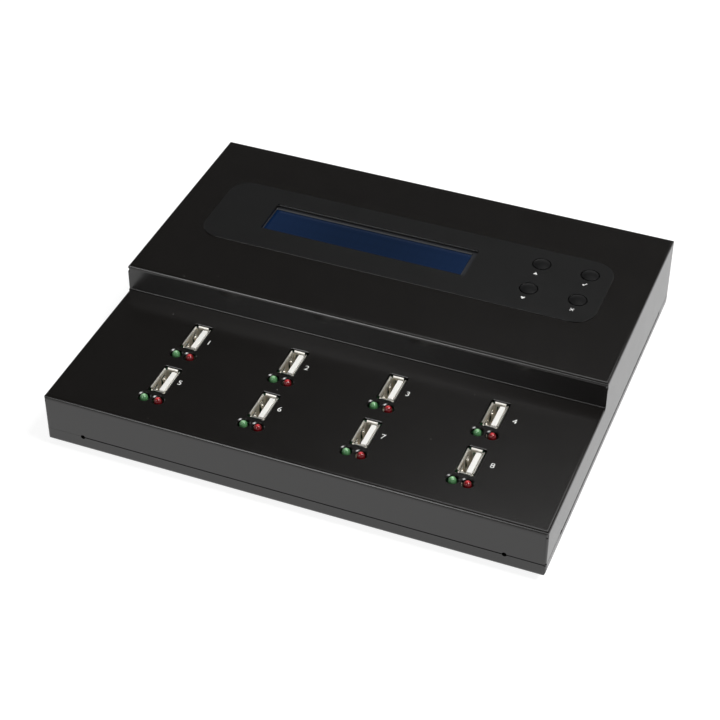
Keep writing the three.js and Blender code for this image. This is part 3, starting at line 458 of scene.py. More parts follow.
class Graph:
    """A node tree under construction."""

    def __init__(self, tree: bpy.types.NodeTree) -> None:
        """Starts on a tree with its old nodes removed."""
        self.tree = tree
        tree.nodes.clear()

    def add(self, kind: str, sockets: dict[object, object] | None = None, **settings: object) -> Node:
        """Adds a node.

        Args:
            kind: The node's type, without its prefix.
            sockets: Input names or numbers, each with a value or with the output that feeds it.
            settings: The node's own settings.

        Returns:
            The new node.
        """
        node = self.tree.nodes.new("ShaderNode" + kind)
        for name, value in settings.items():
            setattr(node, name, value)
        for name, value in (sockets or {}).items():
            self.feed(node.inputs[name], value)
        return node

    def feed(self, socket: Socket, value: object) -> None:
        """Links an output to an input, or sets the input's own value.

        Args:
            socket: The input.
            value: The output or the value.
        """
        if isinstance(value, Socket):
            self.tree.links.new(value, socket)
        else:
            socket.default_value = value

    def math(self, operation: str, first: object, second: object = 0.0, third: object = 0.0) -> Socket:
        """Output of a maths node on up to three values or outputs."""
        return self.add("Math", {0: first, 1: second, 2: third}, operation=operation).outputs[0]

    def mix(self, factor: object, first: object, second: object) -> Socket:
        """Colour mix.

        Args:
            factor: Share of the second colour, as a value or an output.
            first: Colour or output at a share of 0.
            second: Colour or output at a share of 1.

        Returns:
            The mixed colour's output.
        """
        node = self.add("Mix", data_type="RGBA")
        inputs = {socket.identifier: socket for socket in node.inputs}
        self.feed(inputs["Factor_Float"], factor)
        for name, colour in (("A_Color", first), ("B_Color", second)):
            self.feed(inputs[name], colour if isinstance(colour, Socket) else (*colour, 1.0))
        return next(s for s in node.outputs if s.identifier == "Result_Color")

    def fade(self, value: Socket, start: object, end: object, kind: str = "SMOOTHSTEP") -> Socket:
        """Mask that goes from 0 where a value is at its start to 1 at its end."""
        sockets = {"Value": value, "From Min": start, "From Max": end}
        return self.add("MapRange", sockets, interpolation_type=kind).outputs[0]


class Effects:
    """Node groups for surface effects that several finishes share."""

    coarse_share = 0.045
    edge_turn = (0.995, 0.8)
    level_face = 0.9
    mark_edge = (1.15, 0.85)

    def __init__(self) -> None:
        """Builds each group once."""
        self.grain, self.edge_rub_and_sheen = self._grain(), self._edge_rub_and_sheen()
        self.specks, self.mark = self._specks(), self._mark()

    @staticmethod
    def _start(name: str, inputs: dict[str, float | None], *outputs: str) -> tuple[Graph, dict[str, Socket]]:
        """Empty group.

        Args:
            name: The group's name.
            inputs: Input names with their first values, or None for a vector.
            outputs: Names of the outputs, all of them values.

        Returns:
            The group's graph and its inputs by name.
        """
        tree = bpy.data.node_groups.new(name, "ShaderNodeTree")
        for label, value in inputs.items():
            kind = "NodeSocketVector" if value is None else "NodeSocketFloat"
            socket = tree.interface.new_socket(label, in_out="INPUT", socket_type=kind)
            if value is not None:
                socket.default_value = value
        for label in outputs:
            tree.interface.new_socket(label, in_out="OUTPUT", socket_type="NodeSocketFloat")
        graph = Graph(tree)
        start = tree.nodes.new("NodeGroupInput")
        return graph, {label: start.outputs[label] for label in inputs}

    @staticmethod
    def _close(graph: Graph, **outputs: Socket) -> bpy.types.NodeTree:
        """Links a group's outputs.

        Args:
            graph: The group's graph.
            outputs: What feeds each output.

        Returns:
            The group's tree.
        """
        end = graph.tree.nodes.new("NodeGroupOutput")
        for label, socket in outputs.items():
            graph.feed(end.inputs[label], socket)
        return graph.tree

    def _grain(self) -> bpy.types.NodeTree:
        """Fine and coarse noise of a sprayed, moulded or rolled surface.

        Returns:
            The group's tree.
        """
        graph, given = self._start("surface_grain", {"Vector": None, "Scale": 1500.0}, "Fine", "Coarse")
        fine = graph.add("TexNoise", given | {"Detail": 3.0, "Roughness": 0.6})
        wide = given | {"Scale": graph.math("MULTIPLY", given["Scale"], self.coarse_share)}
        coarse = graph.add("TexNoise", wide | {"Detail": 4.0, "Roughness": 0.55})
        return self._close(graph, Fine=fine.outputs[0], Coarse=coarse.outputs[0])

    def _edge_rub_and_sheen(self) -> bpy.types.NodeTree:
        """Mask of convex edges, broken up by noise: rubbed edges, partly a painted sheen that lightens them.

        Returns:
            The group's tree.
        """
        inputs = {"Vector": None, "Radius": 0.3 * MM, "Breaks": 900.0}
        graph, given = self._start("edge_rub_and_painted_sheen", inputs, "Mask")
        bevel = graph.add("Bevel", {"Radius": given["Radius"]}, samples=4)
        normal = graph.add("NewGeometry").outputs["Normal"]
        turn = graph.add("VectorMath", {0: bevel.outputs[0], 1: normal}, operation="DOT_PRODUCT")
        edge = graph.fade(turn.outputs["Value"], *self.edge_turn, "LINEAR")
        noise = graph.add("TexNoise", {"Vector": given["Vector"], "Scale": given["Breaks"], "Detail": 4.0})
        return self._close(graph, Mask=graph.math("MULTIPLY", edge, noise.outputs[0]))

    def _specks(self) -> bpy.types.NodeTree:
        """Mask of sparse dust specks that settle on faces that look up.

        Returns:
            The group's tree.
        """
        inputs = {"Vector": None, "Scale": 160.0, "Size": 0.03, "Share": 0.2}
        graph, given = self._start("dust_specks", inputs, "Mask")
        place = {"Vector": given["Vector"], "Scale": given["Scale"], "Randomness": 1.0}
        cells = graph.add("TexVoronoi", place)
        near = graph.math("LESS_THAN", cells.outputs["Distance"], given["Size"])
        split = graph.add("SeparateColor", {0: cells.outputs["Color"]})
        chosen = graph.math("LESS_THAN", split.outputs[0], given["Share"])
        normal = graph.add("SeparateXYZ", {0: graph.add("NewGeometry").outputs["Normal"]})
        upward = graph.math("GREATER_THAN", normal.outputs["Z"], self.level_face)
        both = graph.math("MULTIPLY", near, chosen)
        return self._close(graph, Mask=graph.math("MULTIPLY", both, upward))

    def _mark(self) -> bpy.types.NodeTree:
        """Mask of one round weld mark that shows through a painted sheet.

        Returns:
            The group's tree.
        """
        inputs = {"Vector": None, "Centre": None, "Radius": 3.0 * MM}
        graph, given = self._start("weld_mark", inputs, "Mask")
        gap = graph.add("VectorMath", {0: given["Vector"], 1: given["Centre"]}, operation="DISTANCE")
        share = graph.math("DIVIDE", gap.outputs["Value"], given["Radius"])
        return self._close(graph, Mask=graph.fade(share, *self.mark_edge))


class Surface(Graph):
    """A finish's node tree, with the piece's own coordinates and the grain at hand."""

    def __init__(self, tree: bpy.types.NodeTree, effects: Effects, scale: float) -> None:
        """Starts with the coordinates and the grain.

        Args:
            tree: The material's node tree.
            effects: The shared node groups.
            scale: The grain's scale, in waves to the metre.
        """
        super().__init__(tree)
        self.effects = effects
        self.vector = self.add("TexCoord").outputs["Object"]
        self.grain = self.effect(effects.grain, Scale=scale).outputs

    def effect(self, tree: bpy.types.NodeTree, **values: object) -> Node:
        """Adds a shared effect on the piece's own coordinates."""
        return self.add("Group", {"Vector": self.vector, **values}, node_tree=tree)


# Finishes


@dataclass(frozen=True)
class Finish:
    """A surface finish with grain, tone variation, rubbed edges with a painted sheen and, where asked for,
    dust.

    Colours are linear. The grain's scale is in waves to the metre and its depth in metres.
    """

    name: str
    slot: str
    colour: Triple
    tone: Triple
    roughness: float
    spread: float = 0.08
    metallic: float = 0.0
    grain: float = 1500.0
    depth: float = 2e-6
    # Share and colour of the lighter rubbed edges, partly a painted sheen.
    edge_rub_and_sheen: float = 0.0
    edge_rub_and_sheen_colour: Triple = (0.2, 0.2, 0.2)
    dust: float = 0.0
    dust_colour: Triple = (0.35, 0.34, 0.32)
    coat: float = 0.0
    coat_roughness: float = 0.2
    level: float = 0.5

    def material(self, effects: Effects) -> bpy.types.Material:
        """Builds the material, once.

        Args:
            effects: The shared node groups.

        Returns:
            The finish's material.
        """
        found = bpy.data.materials.get(self.name)
        if found:
            return found
        material = bpy.data.materials.new(self.name)
        material.use_nodes = True
        graph = Surface(material.node_tree, effects, self.grain)
        colour = self.tint(graph)
        low, high = self.roughness - self.spread, self.roughness + self.spread
        rough = graph.add("MapRange", {"Value": graph.grain["Coarse"], "To Min": low, "To Max": high})
        bump = graph.add("Bump", {"Height": self.relief(graph), "Strength": 1.0, "Distance": self.depth})
        inputs = {
            "Base Color": colour,
            "Roughness": rough.outputs[0],
            "Metallic": self.metallic,
            "Coat Weight": self.coat,
            "Coat Roughness": self.coat_roughness,
            "Specular IOR Level": self.level,
            "Normal": bump.outputs[0],
        }
        shader = graph.add("BsdfPrincipled", inputs | self.extras())
        graph.add("OutputMaterial", {"Surface": shader.outputs[0]})
        return material

    def tint(self, graph: Surface) -> Socket:
        """Base colour: two tones by the coarse grain, then rubbed edges that are partly a painted sheen, and
        dust.

        Args:
            graph: The material's graph.

        Returns:
            The colour's output.
        """
        colour = graph.mix(graph.grain["Coarse"], self.colour, self.tone)
        # Lighter rubbed edges, partly a painted sheen, then dust.
        for tree, amount, cover in (
            (graph.effects.edge_rub_and_sheen, self.edge_rub_and_sheen, self.edge_rub_and_sheen_colour), (graph.effects.specks, self.dust, self.dust_colour)
        ):
            if amount:
                share = graph.math("MULTIPLY", graph.effect(tree).outputs[0], amount)
                colour = graph.mix(share, colour, cover)
        return colour

    def relief(self, graph: Surface) -> Socket:
        """Height of the surface's relief, from 0 to about 1."""
        return graph.grain["Fine"]

    def extras(self) -> dict[str, object]:
        """Shader inputs that only some finishes set."""
        return {}


@dataclass(frozen=True)
class CasingPaint(Finish):
    """Satin paint on sheet steel, with faint round weld marks over the studs."""

    marks: tuple[Triple, ...] = ()
    mark_radius: float = 3.2 * MM
    mark_height: float = 6.0

    def relief(self, graph: Surface) -> Socket:
        """Orange peel with a shallow disc over each stud.

        Args:
            graph: The material's graph.

        Returns:
            The height's output.
        """
        total = graph.grain["Fine"]
        for centre in self.marks:
            mark = graph.effect(graph.effects.mark, Centre=centre, Radius=self.mark_radius)
            total = graph.math("MULTIPLY_ADD", mark.outputs[0], self.mark_height, total)
        return total


@dataclass(frozen=True)
class LampEpoxy(Finish):
    """Tinted, diffusing epoxy with a painted highlight, paler towards the axis over the chip cup."""

    spread: float = 0.02
    grain: float = 2500.0
    depth: float = 0.5e-6
    coat: float = 0.3
    coat_roughness: float = 0.05
    # Colour and reach of the painted highlight round the lamp's axis.
    painted_highlight: Triple = (1.0, 1.0, 1.0)
    painted_highlight_radius: float = 1.1 * MM
    haze: float = 0.35
    haze_depth: float = 0.6 * MM

    def tint(self, graph: Surface) -> Socket:
        """Tint with a painted highlight that pales it towards the lamp's axis.

        Args:
            graph: The material's graph.

        Returns:
            The colour's output.
        """
        base = super().tint(graph)
        flat = graph.add("VectorMath", {0: graph.vector, 1: (1.0, 1.0, 0.0)}, operation="MULTIPLY")
        away = graph.add("VectorMath", {0: flat.outputs[0]}, operation="LENGTH")
        # Painted highlight: the colour fades to the pale highlight colour within its radius of the axis.
        return graph.mix(graph.fade(away.outputs["Value"], self.painted_highlight_radius, 0.0), base, self.painted_highlight)

    def extras(self) -> dict[str, object]:
        """Light that scatters inside the epoxy."""
        reach = {"Subsurface Scale": self.haze_depth, "Subsurface Radius": (1.0, 1.0, 1.0)}
        return {"Subsurface Weight": self.haze} | reach


@dataclass(frozen=True)
class DisplayFace(Finish):
    """Blue polariser of a character display that is off, with its faint character cells and painted light
    towards its ends.
    """

    cell: Triple = (0.010, 0.032, 0.105)
    pitch: Point = mm(3.55, 5.95)
    fill: Point = (0.82, 0.84)
    # Where the painted light starts and ends across the display, and how strongly it lightens the blue.
    ends: Point = mm(12, 43)
    painted_light_share: float = 0.22
    cell_share: float = 0.05

    def tint(self, graph: Surface) -> Socket:
        """Blue with painted light that brightens it towards both ends, with rows of slightly paler cells.

        Args:
            graph: The material's graph.

        Returns:
            The colour's output.
        """
        base = super().tint(graph)
        split = graph.add("SeparateXYZ", {0: graph.vector}).outputs
        # Painted light: the blue is lightened towards both ends of the display.
        ends = graph.fade(graph.math("ABSOLUTE", split["X"]), *self.ends, "LINEAR")
        masks = []
        for axis, pitch, fill in zip("XY", self.pitch, self.fill):
            phase = graph.math("FRACT", graph.math("DIVIDE", split[axis], pitch))
            away = graph.math("ABSOLUTE", graph.math("SUBTRACT", phase, 0.5))
            masks.append(graph.math("LESS_THAN", away, fill / 2))
        inside = graph.math("MULTIPLY", *masks)
        painted_light_blue = graph.mix(graph.math("MULTIPLY", ends, self.painted_light_share), base, self.cell)
        return graph.mix(graph.math("MULTIPLY", inside, self.cell_share), painted_light_blue, self.cell)


@dataclass(frozen=True)
class Laminate(Finish):
    """Solder mask over copper tracks."""

    track: Triple = (0.05, 0.2, 0.08)
    track_scale: float = 420.0
    track_pitch: float = 0.16
    track_edge: float = 0.1
    track_share: float = 0.7

    def tint(self, graph: Surface) -> Socket:
        """Mask colour, paler where square tracks run under it.

        Args:
            graph: The material's graph.

        Returns:
            The colour's output.
        """
        base = super().tint(graph)
        place = {"Vector": graph.vector, "Scale": self.track_scale, "Randomness": 0.7}
        cells = graph.add("TexVoronoi", place, distance="MANHATTAN", feature="F1")
        waves = graph.math("PINGPONG", cells.outputs["Distance"], self.track_pitch)
        tracks = graph.math("GREATER_THAN", waves, self.track_edge)
        return graph.mix(graph.math("MULTIPLY", tracks, self.track_share), base, self.track)


@dataclass(frozen=True)
class CableJacket(Finish):
    """Flat cable with a ridge for each of its conductors."""

    pitch: float = 1.27 * MM

    def relief(self, graph: Surface) -> Socket:
        """Round ridges side by side across the cable."""
        split = graph.add("SeparateXYZ", {0: graph.vector})
        return graph.math("PINGPONG", split.outputs["X"], self.pitch / 2)


class Finishes:
    """Every finish of the object."""

    paint = CasingPaint(
        "satin_black_paint", "casing_paint", (0.0030, 0.0023, 0.0017), (0.0046, 0.0037, 0.0030), 0.25,
        spread=0.02, grain=2300.0, depth=1.2e-6, dust=0.5, level=0.62,
        marks=tuple((x, y, PANEL_TOP) for x, y in STUDS),
    )
    film = Finish(
        "panel_film_satin", "panel_film", (0.0048, 0.0048, 0.0048), (0.0060, 0.0060, 0.0060), 0.30,
        spread=0.03, grain=3500.0, depth=1.0e-6, coat=0.2, dust=0.2,
    )
    # Its lighter edges are partly a painted sheen.
    nickel = Finish(
        "nickel_plate", "nickel", (0.88, 0.86, 0.80), (0.80, 0.78, 0.71), 0.42,
        spread=0.06, metallic=1.0, grain=5200.0, depth=1.5e-6, edge_rub_and_sheen=0.3, edge_rub_and_sheen_colour=(0.9, 0.88, 0.82),
    )
    gold = Finish(
        "gold_flash", "nickel", (0.80, 0.56, 0.22), (0.70, 0.48, 0.18), 0.2,
        metallic=1.0, grain=6000.0, depth=1.0e-6,
    )
    ivory = Finish(
        "white_moulding", "ivory_plastic", (0.92, 0.91, 0.87), (0.87, 0.86, 0.82), 0.38,
        grain=4000.0, depth=1.5e-6,
    )
    # The paler colour near each lamp's axis is a painted highlight.
    green = LampEpoxy(
        "green_epoxy", "led_green", (0.075, 0.23, 0.085), (0.090, 0.26, 0.100), 0.14,
        painted_highlight=(0.40, 0.70, 0.40),
    )
    red = LampEpoxy(
        "red_epoxy", "led_red", (0.15, 0.002, 0.005), (0.18, 0.003, 0.006), 0.14,
        painted_highlight=(0.78, 0.06, 0.07),
    )
    display = DisplayFace(
        "display_blue", "display_glass", (0.0008, 0.0092, 0.032), (0.0010, 0.0104, 0.036), 0.12,
        spread=0.02, grain=1200.0, depth=0.4e-6, coat=0.2, coat_roughness=0.05,
    )
    # Its lighter edges are partly a painted sheen.
    bezel = Finish(
        "bezel_black", "bezel", (0.012, 0.013, 0.016), (0.016, 0.017, 0.020), 0.4,
        grain=3200.0, depth=1.5e-6, edge_rub_and_sheen=0.4,
    )
    keys = Finish(
        "key_satin", "key_plastic", (0.0042, 0.0042, 0.0043), (0.0058, 0.0058, 0.0060), 0.5,
        spread=0.05, level=0.15, grain=5200.0,
    )
    # Its lighter edges are partly a painted sheen.
    plastic = Finish(
        "black_moulding", "black_plastic", (0.012, 0.012, 0.0125), (0.017, 0.017, 0.018), 0.45,
        grain=2600.0, depth=6.0e-6, edge_rub_and_sheen=0.3, edge_rub_and_sheen_colour=(0.08, 0.08, 0.08),
    )
    rubber = Finish(
        "foot_rubber", "rubber", (0.012, 0.012, 0.012), (0.020, 0.020, 0.019), 0.8,
        grain=2200.0, depth=14.0e-6, dust=0.6,
    )
    # Its lighter edges are rubbed metal, partly a painted sheen.
    steel = Finish(
        "black_steel", "screw_steel", (0.045, 0.045, 0.048), (0.065, 0.065, 0.068), 0.34,
        metallic=1.0, grain=3000.0, depth=3.0e-6, edge_rub_and_sheen=0.8, edge_rub_and_sheen_colour=(0.35, 0.35, 0.34),
    )
    laminate = Laminate(
        "green_laminate", "laminate", (0.010, 0.075, 0.028), (0.013, 0.090, 0.034), 0.3,
        grain=1800.0, depth=4.0e-6,
    )
    cable = CableJacket(
        "cable_jacket", "cable", (0.30, 0.30, 0.29), (0.34, 0.34, 0.33), 0.5, grain=1200.0, depth=0.3 * MM
    )
    ink = Finish("white_ink", "panel_film", (0.84, 0.84, 0.82), (0.92, 0.92, 0.90), 0.5, grain=6500.0)


# Pieces


@dataclass
class Workshop:
    """Turns meshes into dressed pieces of the object."""

    effects: Effects

    def make(
        self,
        name: str,
        mesh: Mesh,
        finish: Finish,
        body: str = CASING,
        at: Sequence[float] = (0.0, 0.0, 0.0),
        replaces: Sequence[str] = (),
    ) -> None:
        """Adds one piece.

        Args:
            name: The piece's name.
            mesh: Its finished mesh.
            finish: What it is dressed in.
            body: The body that it rides on.
            at: Where its own origin lies.
            replaces: CAD nodes that it stands for.
        """
        mesh.materials.clear()
        mesh.materials.append(finish.material(self.effects))
        made = placed(name, mesh, at)
        made.modifiers.new("even_normals", "WEIGHTED_NORMAL").keep_sharp = True
        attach(made, body)
        if replaces:
            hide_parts(*replaces)
        log.info("%s rides on %s", name, body)

    def dress(self, node: bpy.types.Object, finish: Finish) -> None:
        """Gives a CAD node that stays a better material.

        Args:
            node: The node's object.
            finish: What it is dressed in.
        """
        node.data.materials.clear()
        node.data.materials.append(finish.material(self.effects))
        log.info("%s is dressed in %s", node.name, finish.name)


@dataclass
class Casing:
    """Welded cover and the pan below it, cut from 1 mm sheet."""

    sheet: float = 1.0 * MM
    deck_drop: float = 11.4 * MM
    deck_depth: float = 70.7 * MM
    seam: float = 6.0 * MM
    gap: float = 0.4 * MM
    tight: float = 0.06 * MM
    bend: float = 1.6 * MM
    foot_bend: float = 0.6 * MM
    edge: float = 1.1 * MM
    corner: float = 1.2 * MM
    burr: float = 0.14 * MM
    socket: Triple = mm(7.4, 15.2, 0.6)
    lamp_hole: float = 4.5 * MM
    lamp_slope: Triple = mm(0.45, 0.34, 0.04)
    lamp_shift: Point = mm(-0.2, 0.5)
    relief: float = 1.8 * MM
    lip_insets: Triple = mm(15.2, 18.0, 15.0)
    corner_notch: Triple = mm(1.5, 1.6, 1.2)
    screw_hole: float = 3.4 * MM
    thread_share: float = 0.9
    inlet_hole: float = 8.4 * MM
    rocker_hole: Triple = mm(13.5, 8.3, 0.6)
    pan_bends: Point = mm(2.5, 1.6)
    flange: float = 5.6 * MM
    lip: tuple[float, float, float, float] = mm(5.56, 5.9, 13.0, 0.3)
    lip_ease: float = 0.15 * MM
    ledge: Point = mm(0.85, 4.9)
    lip_bite: float = 0.45 * MM
    slit: Triple = mm(0.3, 2.8, 0.05)
    peg: Triple = mm(6.0, 5.0, 6.7)
    post: Triple = mm(7.0, 3.65, 8.0)
    stud: Point = mm(6.0, 24.45)
    rear_notch: float = 10.65 * MM
    small_round: int = 24
    large_round: int = 32

    def __post_init__(self) -> None:
        """Takes the casing's outer box from the frame."""
        low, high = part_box("top_cover")
        self.left, self.front = low.x, low.y
        self.right, self.rear, self.top = high.x, high.y, high.z
        self.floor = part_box("base_pan")[0].z
        self.deck = self.top - self.deck_drop
        self.riser = self.front + self.deck_depth
        self.seam_z = self.floor + self.seam - self.gap / 2

    def sides(self, inset: float) -> tuple[float, float, float, float]:
        """Left, right, front and rear faces, drawn in."""
        return self.left + inset, self.right - inset, self.front + inset, self.rear - inset

    def plan(self, inset: float, low: float, high: float) -> Mesh:
        """Upright block of the casing's plan.

        Args:
            inset: How far its faces are drawn in.
            low: Height of its lower face.
            high: Height of its upper face.

        Returns:
            The block's mesh.
        """
        left, right, front, rear = self.sides(inset)
        middle = ((left + right) / 2, (front + rear) / 2)
        return prism(rectangle(right - left, rear - front, max(self.corner - inset, 0.0), middle), low, high)

    def form(self, inset: float, base: float) -> Mesh:
        """Full stepped form with all faces drawn in.

        Args:
            inset: How far they are drawn in.
            base: Height that the form stands on.

        Returns:
            The form's mesh.
        """
        left, right, front, rear = self.sides(inset)
        deck, top, riser = self.deck - inset, self.top - inset, self.riser + inset
        bend, edge = max(self.bend - inset, 0.0), max(self.edge - inset, 0.0)
        side = rounded([
            (front, base, 0), (rear, base, 0), (rear, top, bend), (riser, top, bend),
            (riser, deck, self.foot_bend + inset), (front, deck, bend),
        ])
        steps = []
        for height, start in ((deck, front), (top, self.riser - self.foot_bend)):
            across = rounded([(left, base, 0), (right, base, 0), (right, height, edge), (left, height, edge)])
            steps.append(prism(across, start, rear, Axis.Y))
        whole = prism(side, left, right, Axis.X)
        profile = combined(steps[0], Operation.JOIN, steps[1])
        return combined(whole, Operation.COMMON, profile, self.plan(inset, base, top))

    def round_hole(self, diameter: float, at: Point, face: float, axis: Axis = Axis.Z) -> Mesh:
        """Cutter for a round hole whose rim is eased at the outer face.

        Args:
            diameter: The hole's diameter.
            at: Its middle.
            face: Where the outer face lies along the axis.
            axis: The axis that the hole runs along.

        Returns:
            The cutter's mesh.
        """
        levels = (face - self.sheet - OVERRUN, face - self.burr, face + self.burr)
        return bored((diameter, diameter + 4 * self.burr), levels, at, axis)

    def square_hole(self, size: Triple, at: Point, face: float, axis: Axis = Axis.Z) -> Mesh:
        """Cutter for a rectangular hole whose rim is eased at the outer face.

        Args:
            size: The hole's width, depth and corner radius.
            at: Its middle.
            face: Where the outer face lies along the axis.
            axis: The axis that the hole runs along.

        Returns:
            The cutter's mesh.
        """
        *sides, radius = size
        ease = 2 * self.burr
        levels = (face - self.sheet - OVERRUN, face + self.burr)
        return slab(sides, (radius, radius + ease), levels, (-ease, ease), at, axis=axis)

    def lamp_cutter(self, node: str) -> Mesh:
        """Cutter for a lamp's hole, whose rim slopes down into it from the deck.

        Args:
            node: The lamp's CAD node.

        Returns:
            The cutter's mesh.
        """
        run, drop, proud = self.lamp_slope
        x, y = Box(node).plan
        mouth = self.lamp_hole + 2 * run * (1 + proud / drop)
        levels = (self.deck - self.sheet - OVERRUN, self.deck - drop, self.deck + proud)
        return bored((self.lamp_hole, mouth), levels, (x + self.lamp_shift[0], y + self.lamp_shift[1]))

    def reliefs(self) -> list[Mesh]:
        """Cutters for the round reliefs where the pan's lips end, in all four walls.

        Returns:
            The cutters' meshes.
        """
        side, front, rear = self.lip_insets
        walls = (
            (Axis.Y, (self.left + side, self.right - side), (self.front, self.rear)),
            (Axis.X, (self.front + front, self.rear - rear), (self.left, self.right)),
        )
        through = self.sheet + OVERRUN
        made = []
        for axis, places, (near, far) in walls:
            for place in places:
                outline = circle(self.relief, (place, self.seam_z), self.small_round)
                made.append(prism(outline, near - OVERRUN, near + through, axis))
                made.append(prism(outline, far - through, far + OVERRUN, axis))
        return made

    def notches(self, places: Iterable[tuple[Point, float]]) -> list[Mesh]:
        """Cutters for the small open notches at upright corners.

        Args:
            places: Each notch's place in plan and the height of its top.

        Returns:
            The cutters' meshes.
        """
        diameter, height, _ = self.corner_notch
        return [prism(circle(diameter, at, self.small_round), top - height, top) for at, top in places]

    def seam_notches(self) -> list[Mesh]:
        """Cutters for the open right corners, where the seam runs out."""
        top = self.seam_z + self.corner_notch[1] / 2
        return self.notches(((self.right, y), top) for y in (self.front, self.rear))

    def cover(self) -> Mesh:
        """Stepped cover with all its openings, studs and posts.

        Returns:
            The cover's mesh.
        """
        base = self.floor + self.seam
        skin = combined(self.form(0.0, base), Operation.CUT, self.form(self.sheet, base - OVERRUN))
        cutters = []
        for number in NUMBERS:
            cutters.append(self.square_hole(self.socket, Box(f"usb_shell_{number}").plan, self.deck))
            cutters += [self.lamp_cutter(f"led_{colour}_{number}") for colour in Lamps.colours]
        cutters.append(self.square_hole(Display.window, Display.window_at, self.top))
        for key in Keys.names:
            cutters.append(self.round_hole(Keys.hole, Box(f"key_cap_{key}").plan, self.top))
        drop = self.corner_notch[2]
        steps = ((self.front, self.deck), (self.riser, self.top))
        bends = [((x, y), top - drop) for y, top in steps for x in (self.left, self.right)]
        cutters += [*self.rear_holes(), *self.notches(bends), *self.reliefs(), *self.seam_notches()]
        open_skin = combined(skin, Operation.CUT, together(cutters))
        return shaded(combined(open_skin, Operation.JOIN, *self.studs()))

    def studs(self) -> list[Mesh]:
        """Studs that carry the control board, and posts for the front screws.

        Returns:
            Their meshes.
        """
        weld = self.sheet / 2
        diameter, low = self.stud
        made = [prism(circle(diameter, at, self.large_round), low, self.top - weld) for at in STUDS]
        diameter, low, depth = self.post
        for number in FRONT_SCREWS:
            at = Box(f"cover_screw_{number}").plan
            post = prism(circle(diameter, at, self.large_round), low, self.deck - weld)
            bore = prism(circle(self.screw_hole, at, self.large_round), low - OVERRUN, low + depth)
            made.append(combined(post, Operation.CUT, bore))
        return made

    def rear_holes(self) -> list[Mesh]:
        """Cutters for the power inlet, the rocker switch and the rear screws.

        Returns:
            The cutters' meshes.
        """
        inlet = Box("dc_inlet")
        at = (inlet.x, inlet.low.z + RearPanel.inlet_axis)
        made = [self.round_hole(self.inlet_hole, at, self.rear, Axis.Y)]
        made.append(self.square_hole(self.rocker_hole, Box("power_switch").face, self.rear, Axis.Y))
        for number in REAR_SCREWS:
            at = Box(f"cover_screw_{number}").face
            made.append(self.round_hole(self.screw_hole, at, self.rear, Axis.Y))
        return made

    def tray(self, inset: float, top: float) -> Mesh:
        """Pan's outer form, or that of its hollow when drawn in by the sheet.

        Args:
            inset: How far its faces are drawn in.
            top: Height of its upper face.

        Returns:
            The form's mesh.
        """
        left, right, front, rear = self.sides(inset)
        base = self.floor + inset
        sections = []
        for near, far, bend in ((left, right, self.pan_bends[0]), (front, rear, self.pan_bends[1])):
            radius = max(bend - inset, 0.0)
            corners = [(near, base, radius), (far, base, radius), (far, top, 0), (near, top, 0)]
            sections.append(rounded(corners, steps=10))
        across = prism(sections[0], front, rear, Axis.Y)
        whole = prism(sections[1], left, right, Axis.X)
        return combined(whole, Operation.COMMON, across, self.plan(inset, base, top))

    def lips(self) -> list[Mesh]:
        """Joggled lips that stand behind the cover's skirt.

        Returns:
            Their meshes.
        """
        side, front, rear = self.lip_insets
        near, far = self.left + side + self.lip_bite, self.right - side - self.lip_bite
        low, high = self.front + front + self.lip_bite, self.rear - rear - self.lip_bite
        ends = self.lip_section(self.sheet / 4, self.lip[0])
        sides = self.lip_section(*self.ledge)
        walls = (
            (self.front, 1, ends, near, far, Axis.X),
            (self.rear, -1, ends, near, far, Axis.X),
            (self.left, 1, sides, low, high, Axis.Y),
            (self.right, -1, sides, low, high, Axis.Y),
        )
        return [
            prism([(wall + inward * u, v) for u, v in section], start, end, axis)
            for wall, inward, section, start, end, axis in walls
        ]

    def lip_section(self, inset: float, start: float) -> list[Point]:
        """Section (inward, z) of a lip that leaves the wall's top edge.

        Args:
            inset: How far inside the wall's outer face the lip begins.
            start: Height above the pan's floor at which it begins.

        Returns:
            The closed section.
        """
        _, rise, top, run = self.lip
        inner = self.sheet + run
        outer = inner + self.sheet
        section = rounded([
            (inset, start, 0), (inner, rise, run), (inner, top, self.lip_ease), (outer, top, self.lip_ease),
            (outer, rise - self.sheet, run), (self.sheet, start - self.sheet, 0),
            (self.sheet / 2, start - self.sheet, 0),
        ], steps=4)
        return [(u, self.floor + v) for u, v in section]

    def pan_cuts(self) -> list[Mesh]:
        """Cutters for the pan's slits, screw holes, rear notches and reliefs.

        Returns:
            The cutters' meshes.
        """
        above = self.floor + self.lip[2] + OVERRUN
        width, rise, skin = self.slit
        inner = self.sheet - skin
        cutters = []
        for y in (self.front + inner, self.rear - inner - width):
            opening = between((y, self.floor + rise), (y + width, above))
            cutters.append(prism(opening, self.left - OVERRUN, self.left + inner, Axis.X))
            cutters.append(prism(opening, self.right - inner, self.right + OVERRUN, Axis.X))
        for number in FRONT_SCREWS:
            hole = circle(self.screw_hole, Box(f"cover_screw_{number}").plan, self.large_round)
            cutters.append(prism(hole, self.floor - OVERRUN, self.floor + self.sheet + OVERRUN))
        run = self.lip[3]
        near, far = self.rear - 2 * self.sheet - run - OVERRUN, self.rear - self.sheet
        for number in REAR_SCREWS:
            at = Box(f"cover_screw_{number}").face
            thread = circle(self.thread_share * self.screw_hole, at, self.large_round)
            cutters.append(prism(thread, near, far + OVERRUN, Axis.Y))
        for node in ("dc_inlet", "power_switch"):
            low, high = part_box(node)
            notch = between((low.x - run, self.rear_notch), (high.x + run, above))
            cutters.append(prism(notch, near, far, Axis.Y))
        return [*cutters, *self.reliefs(), *self.seam_notches()]

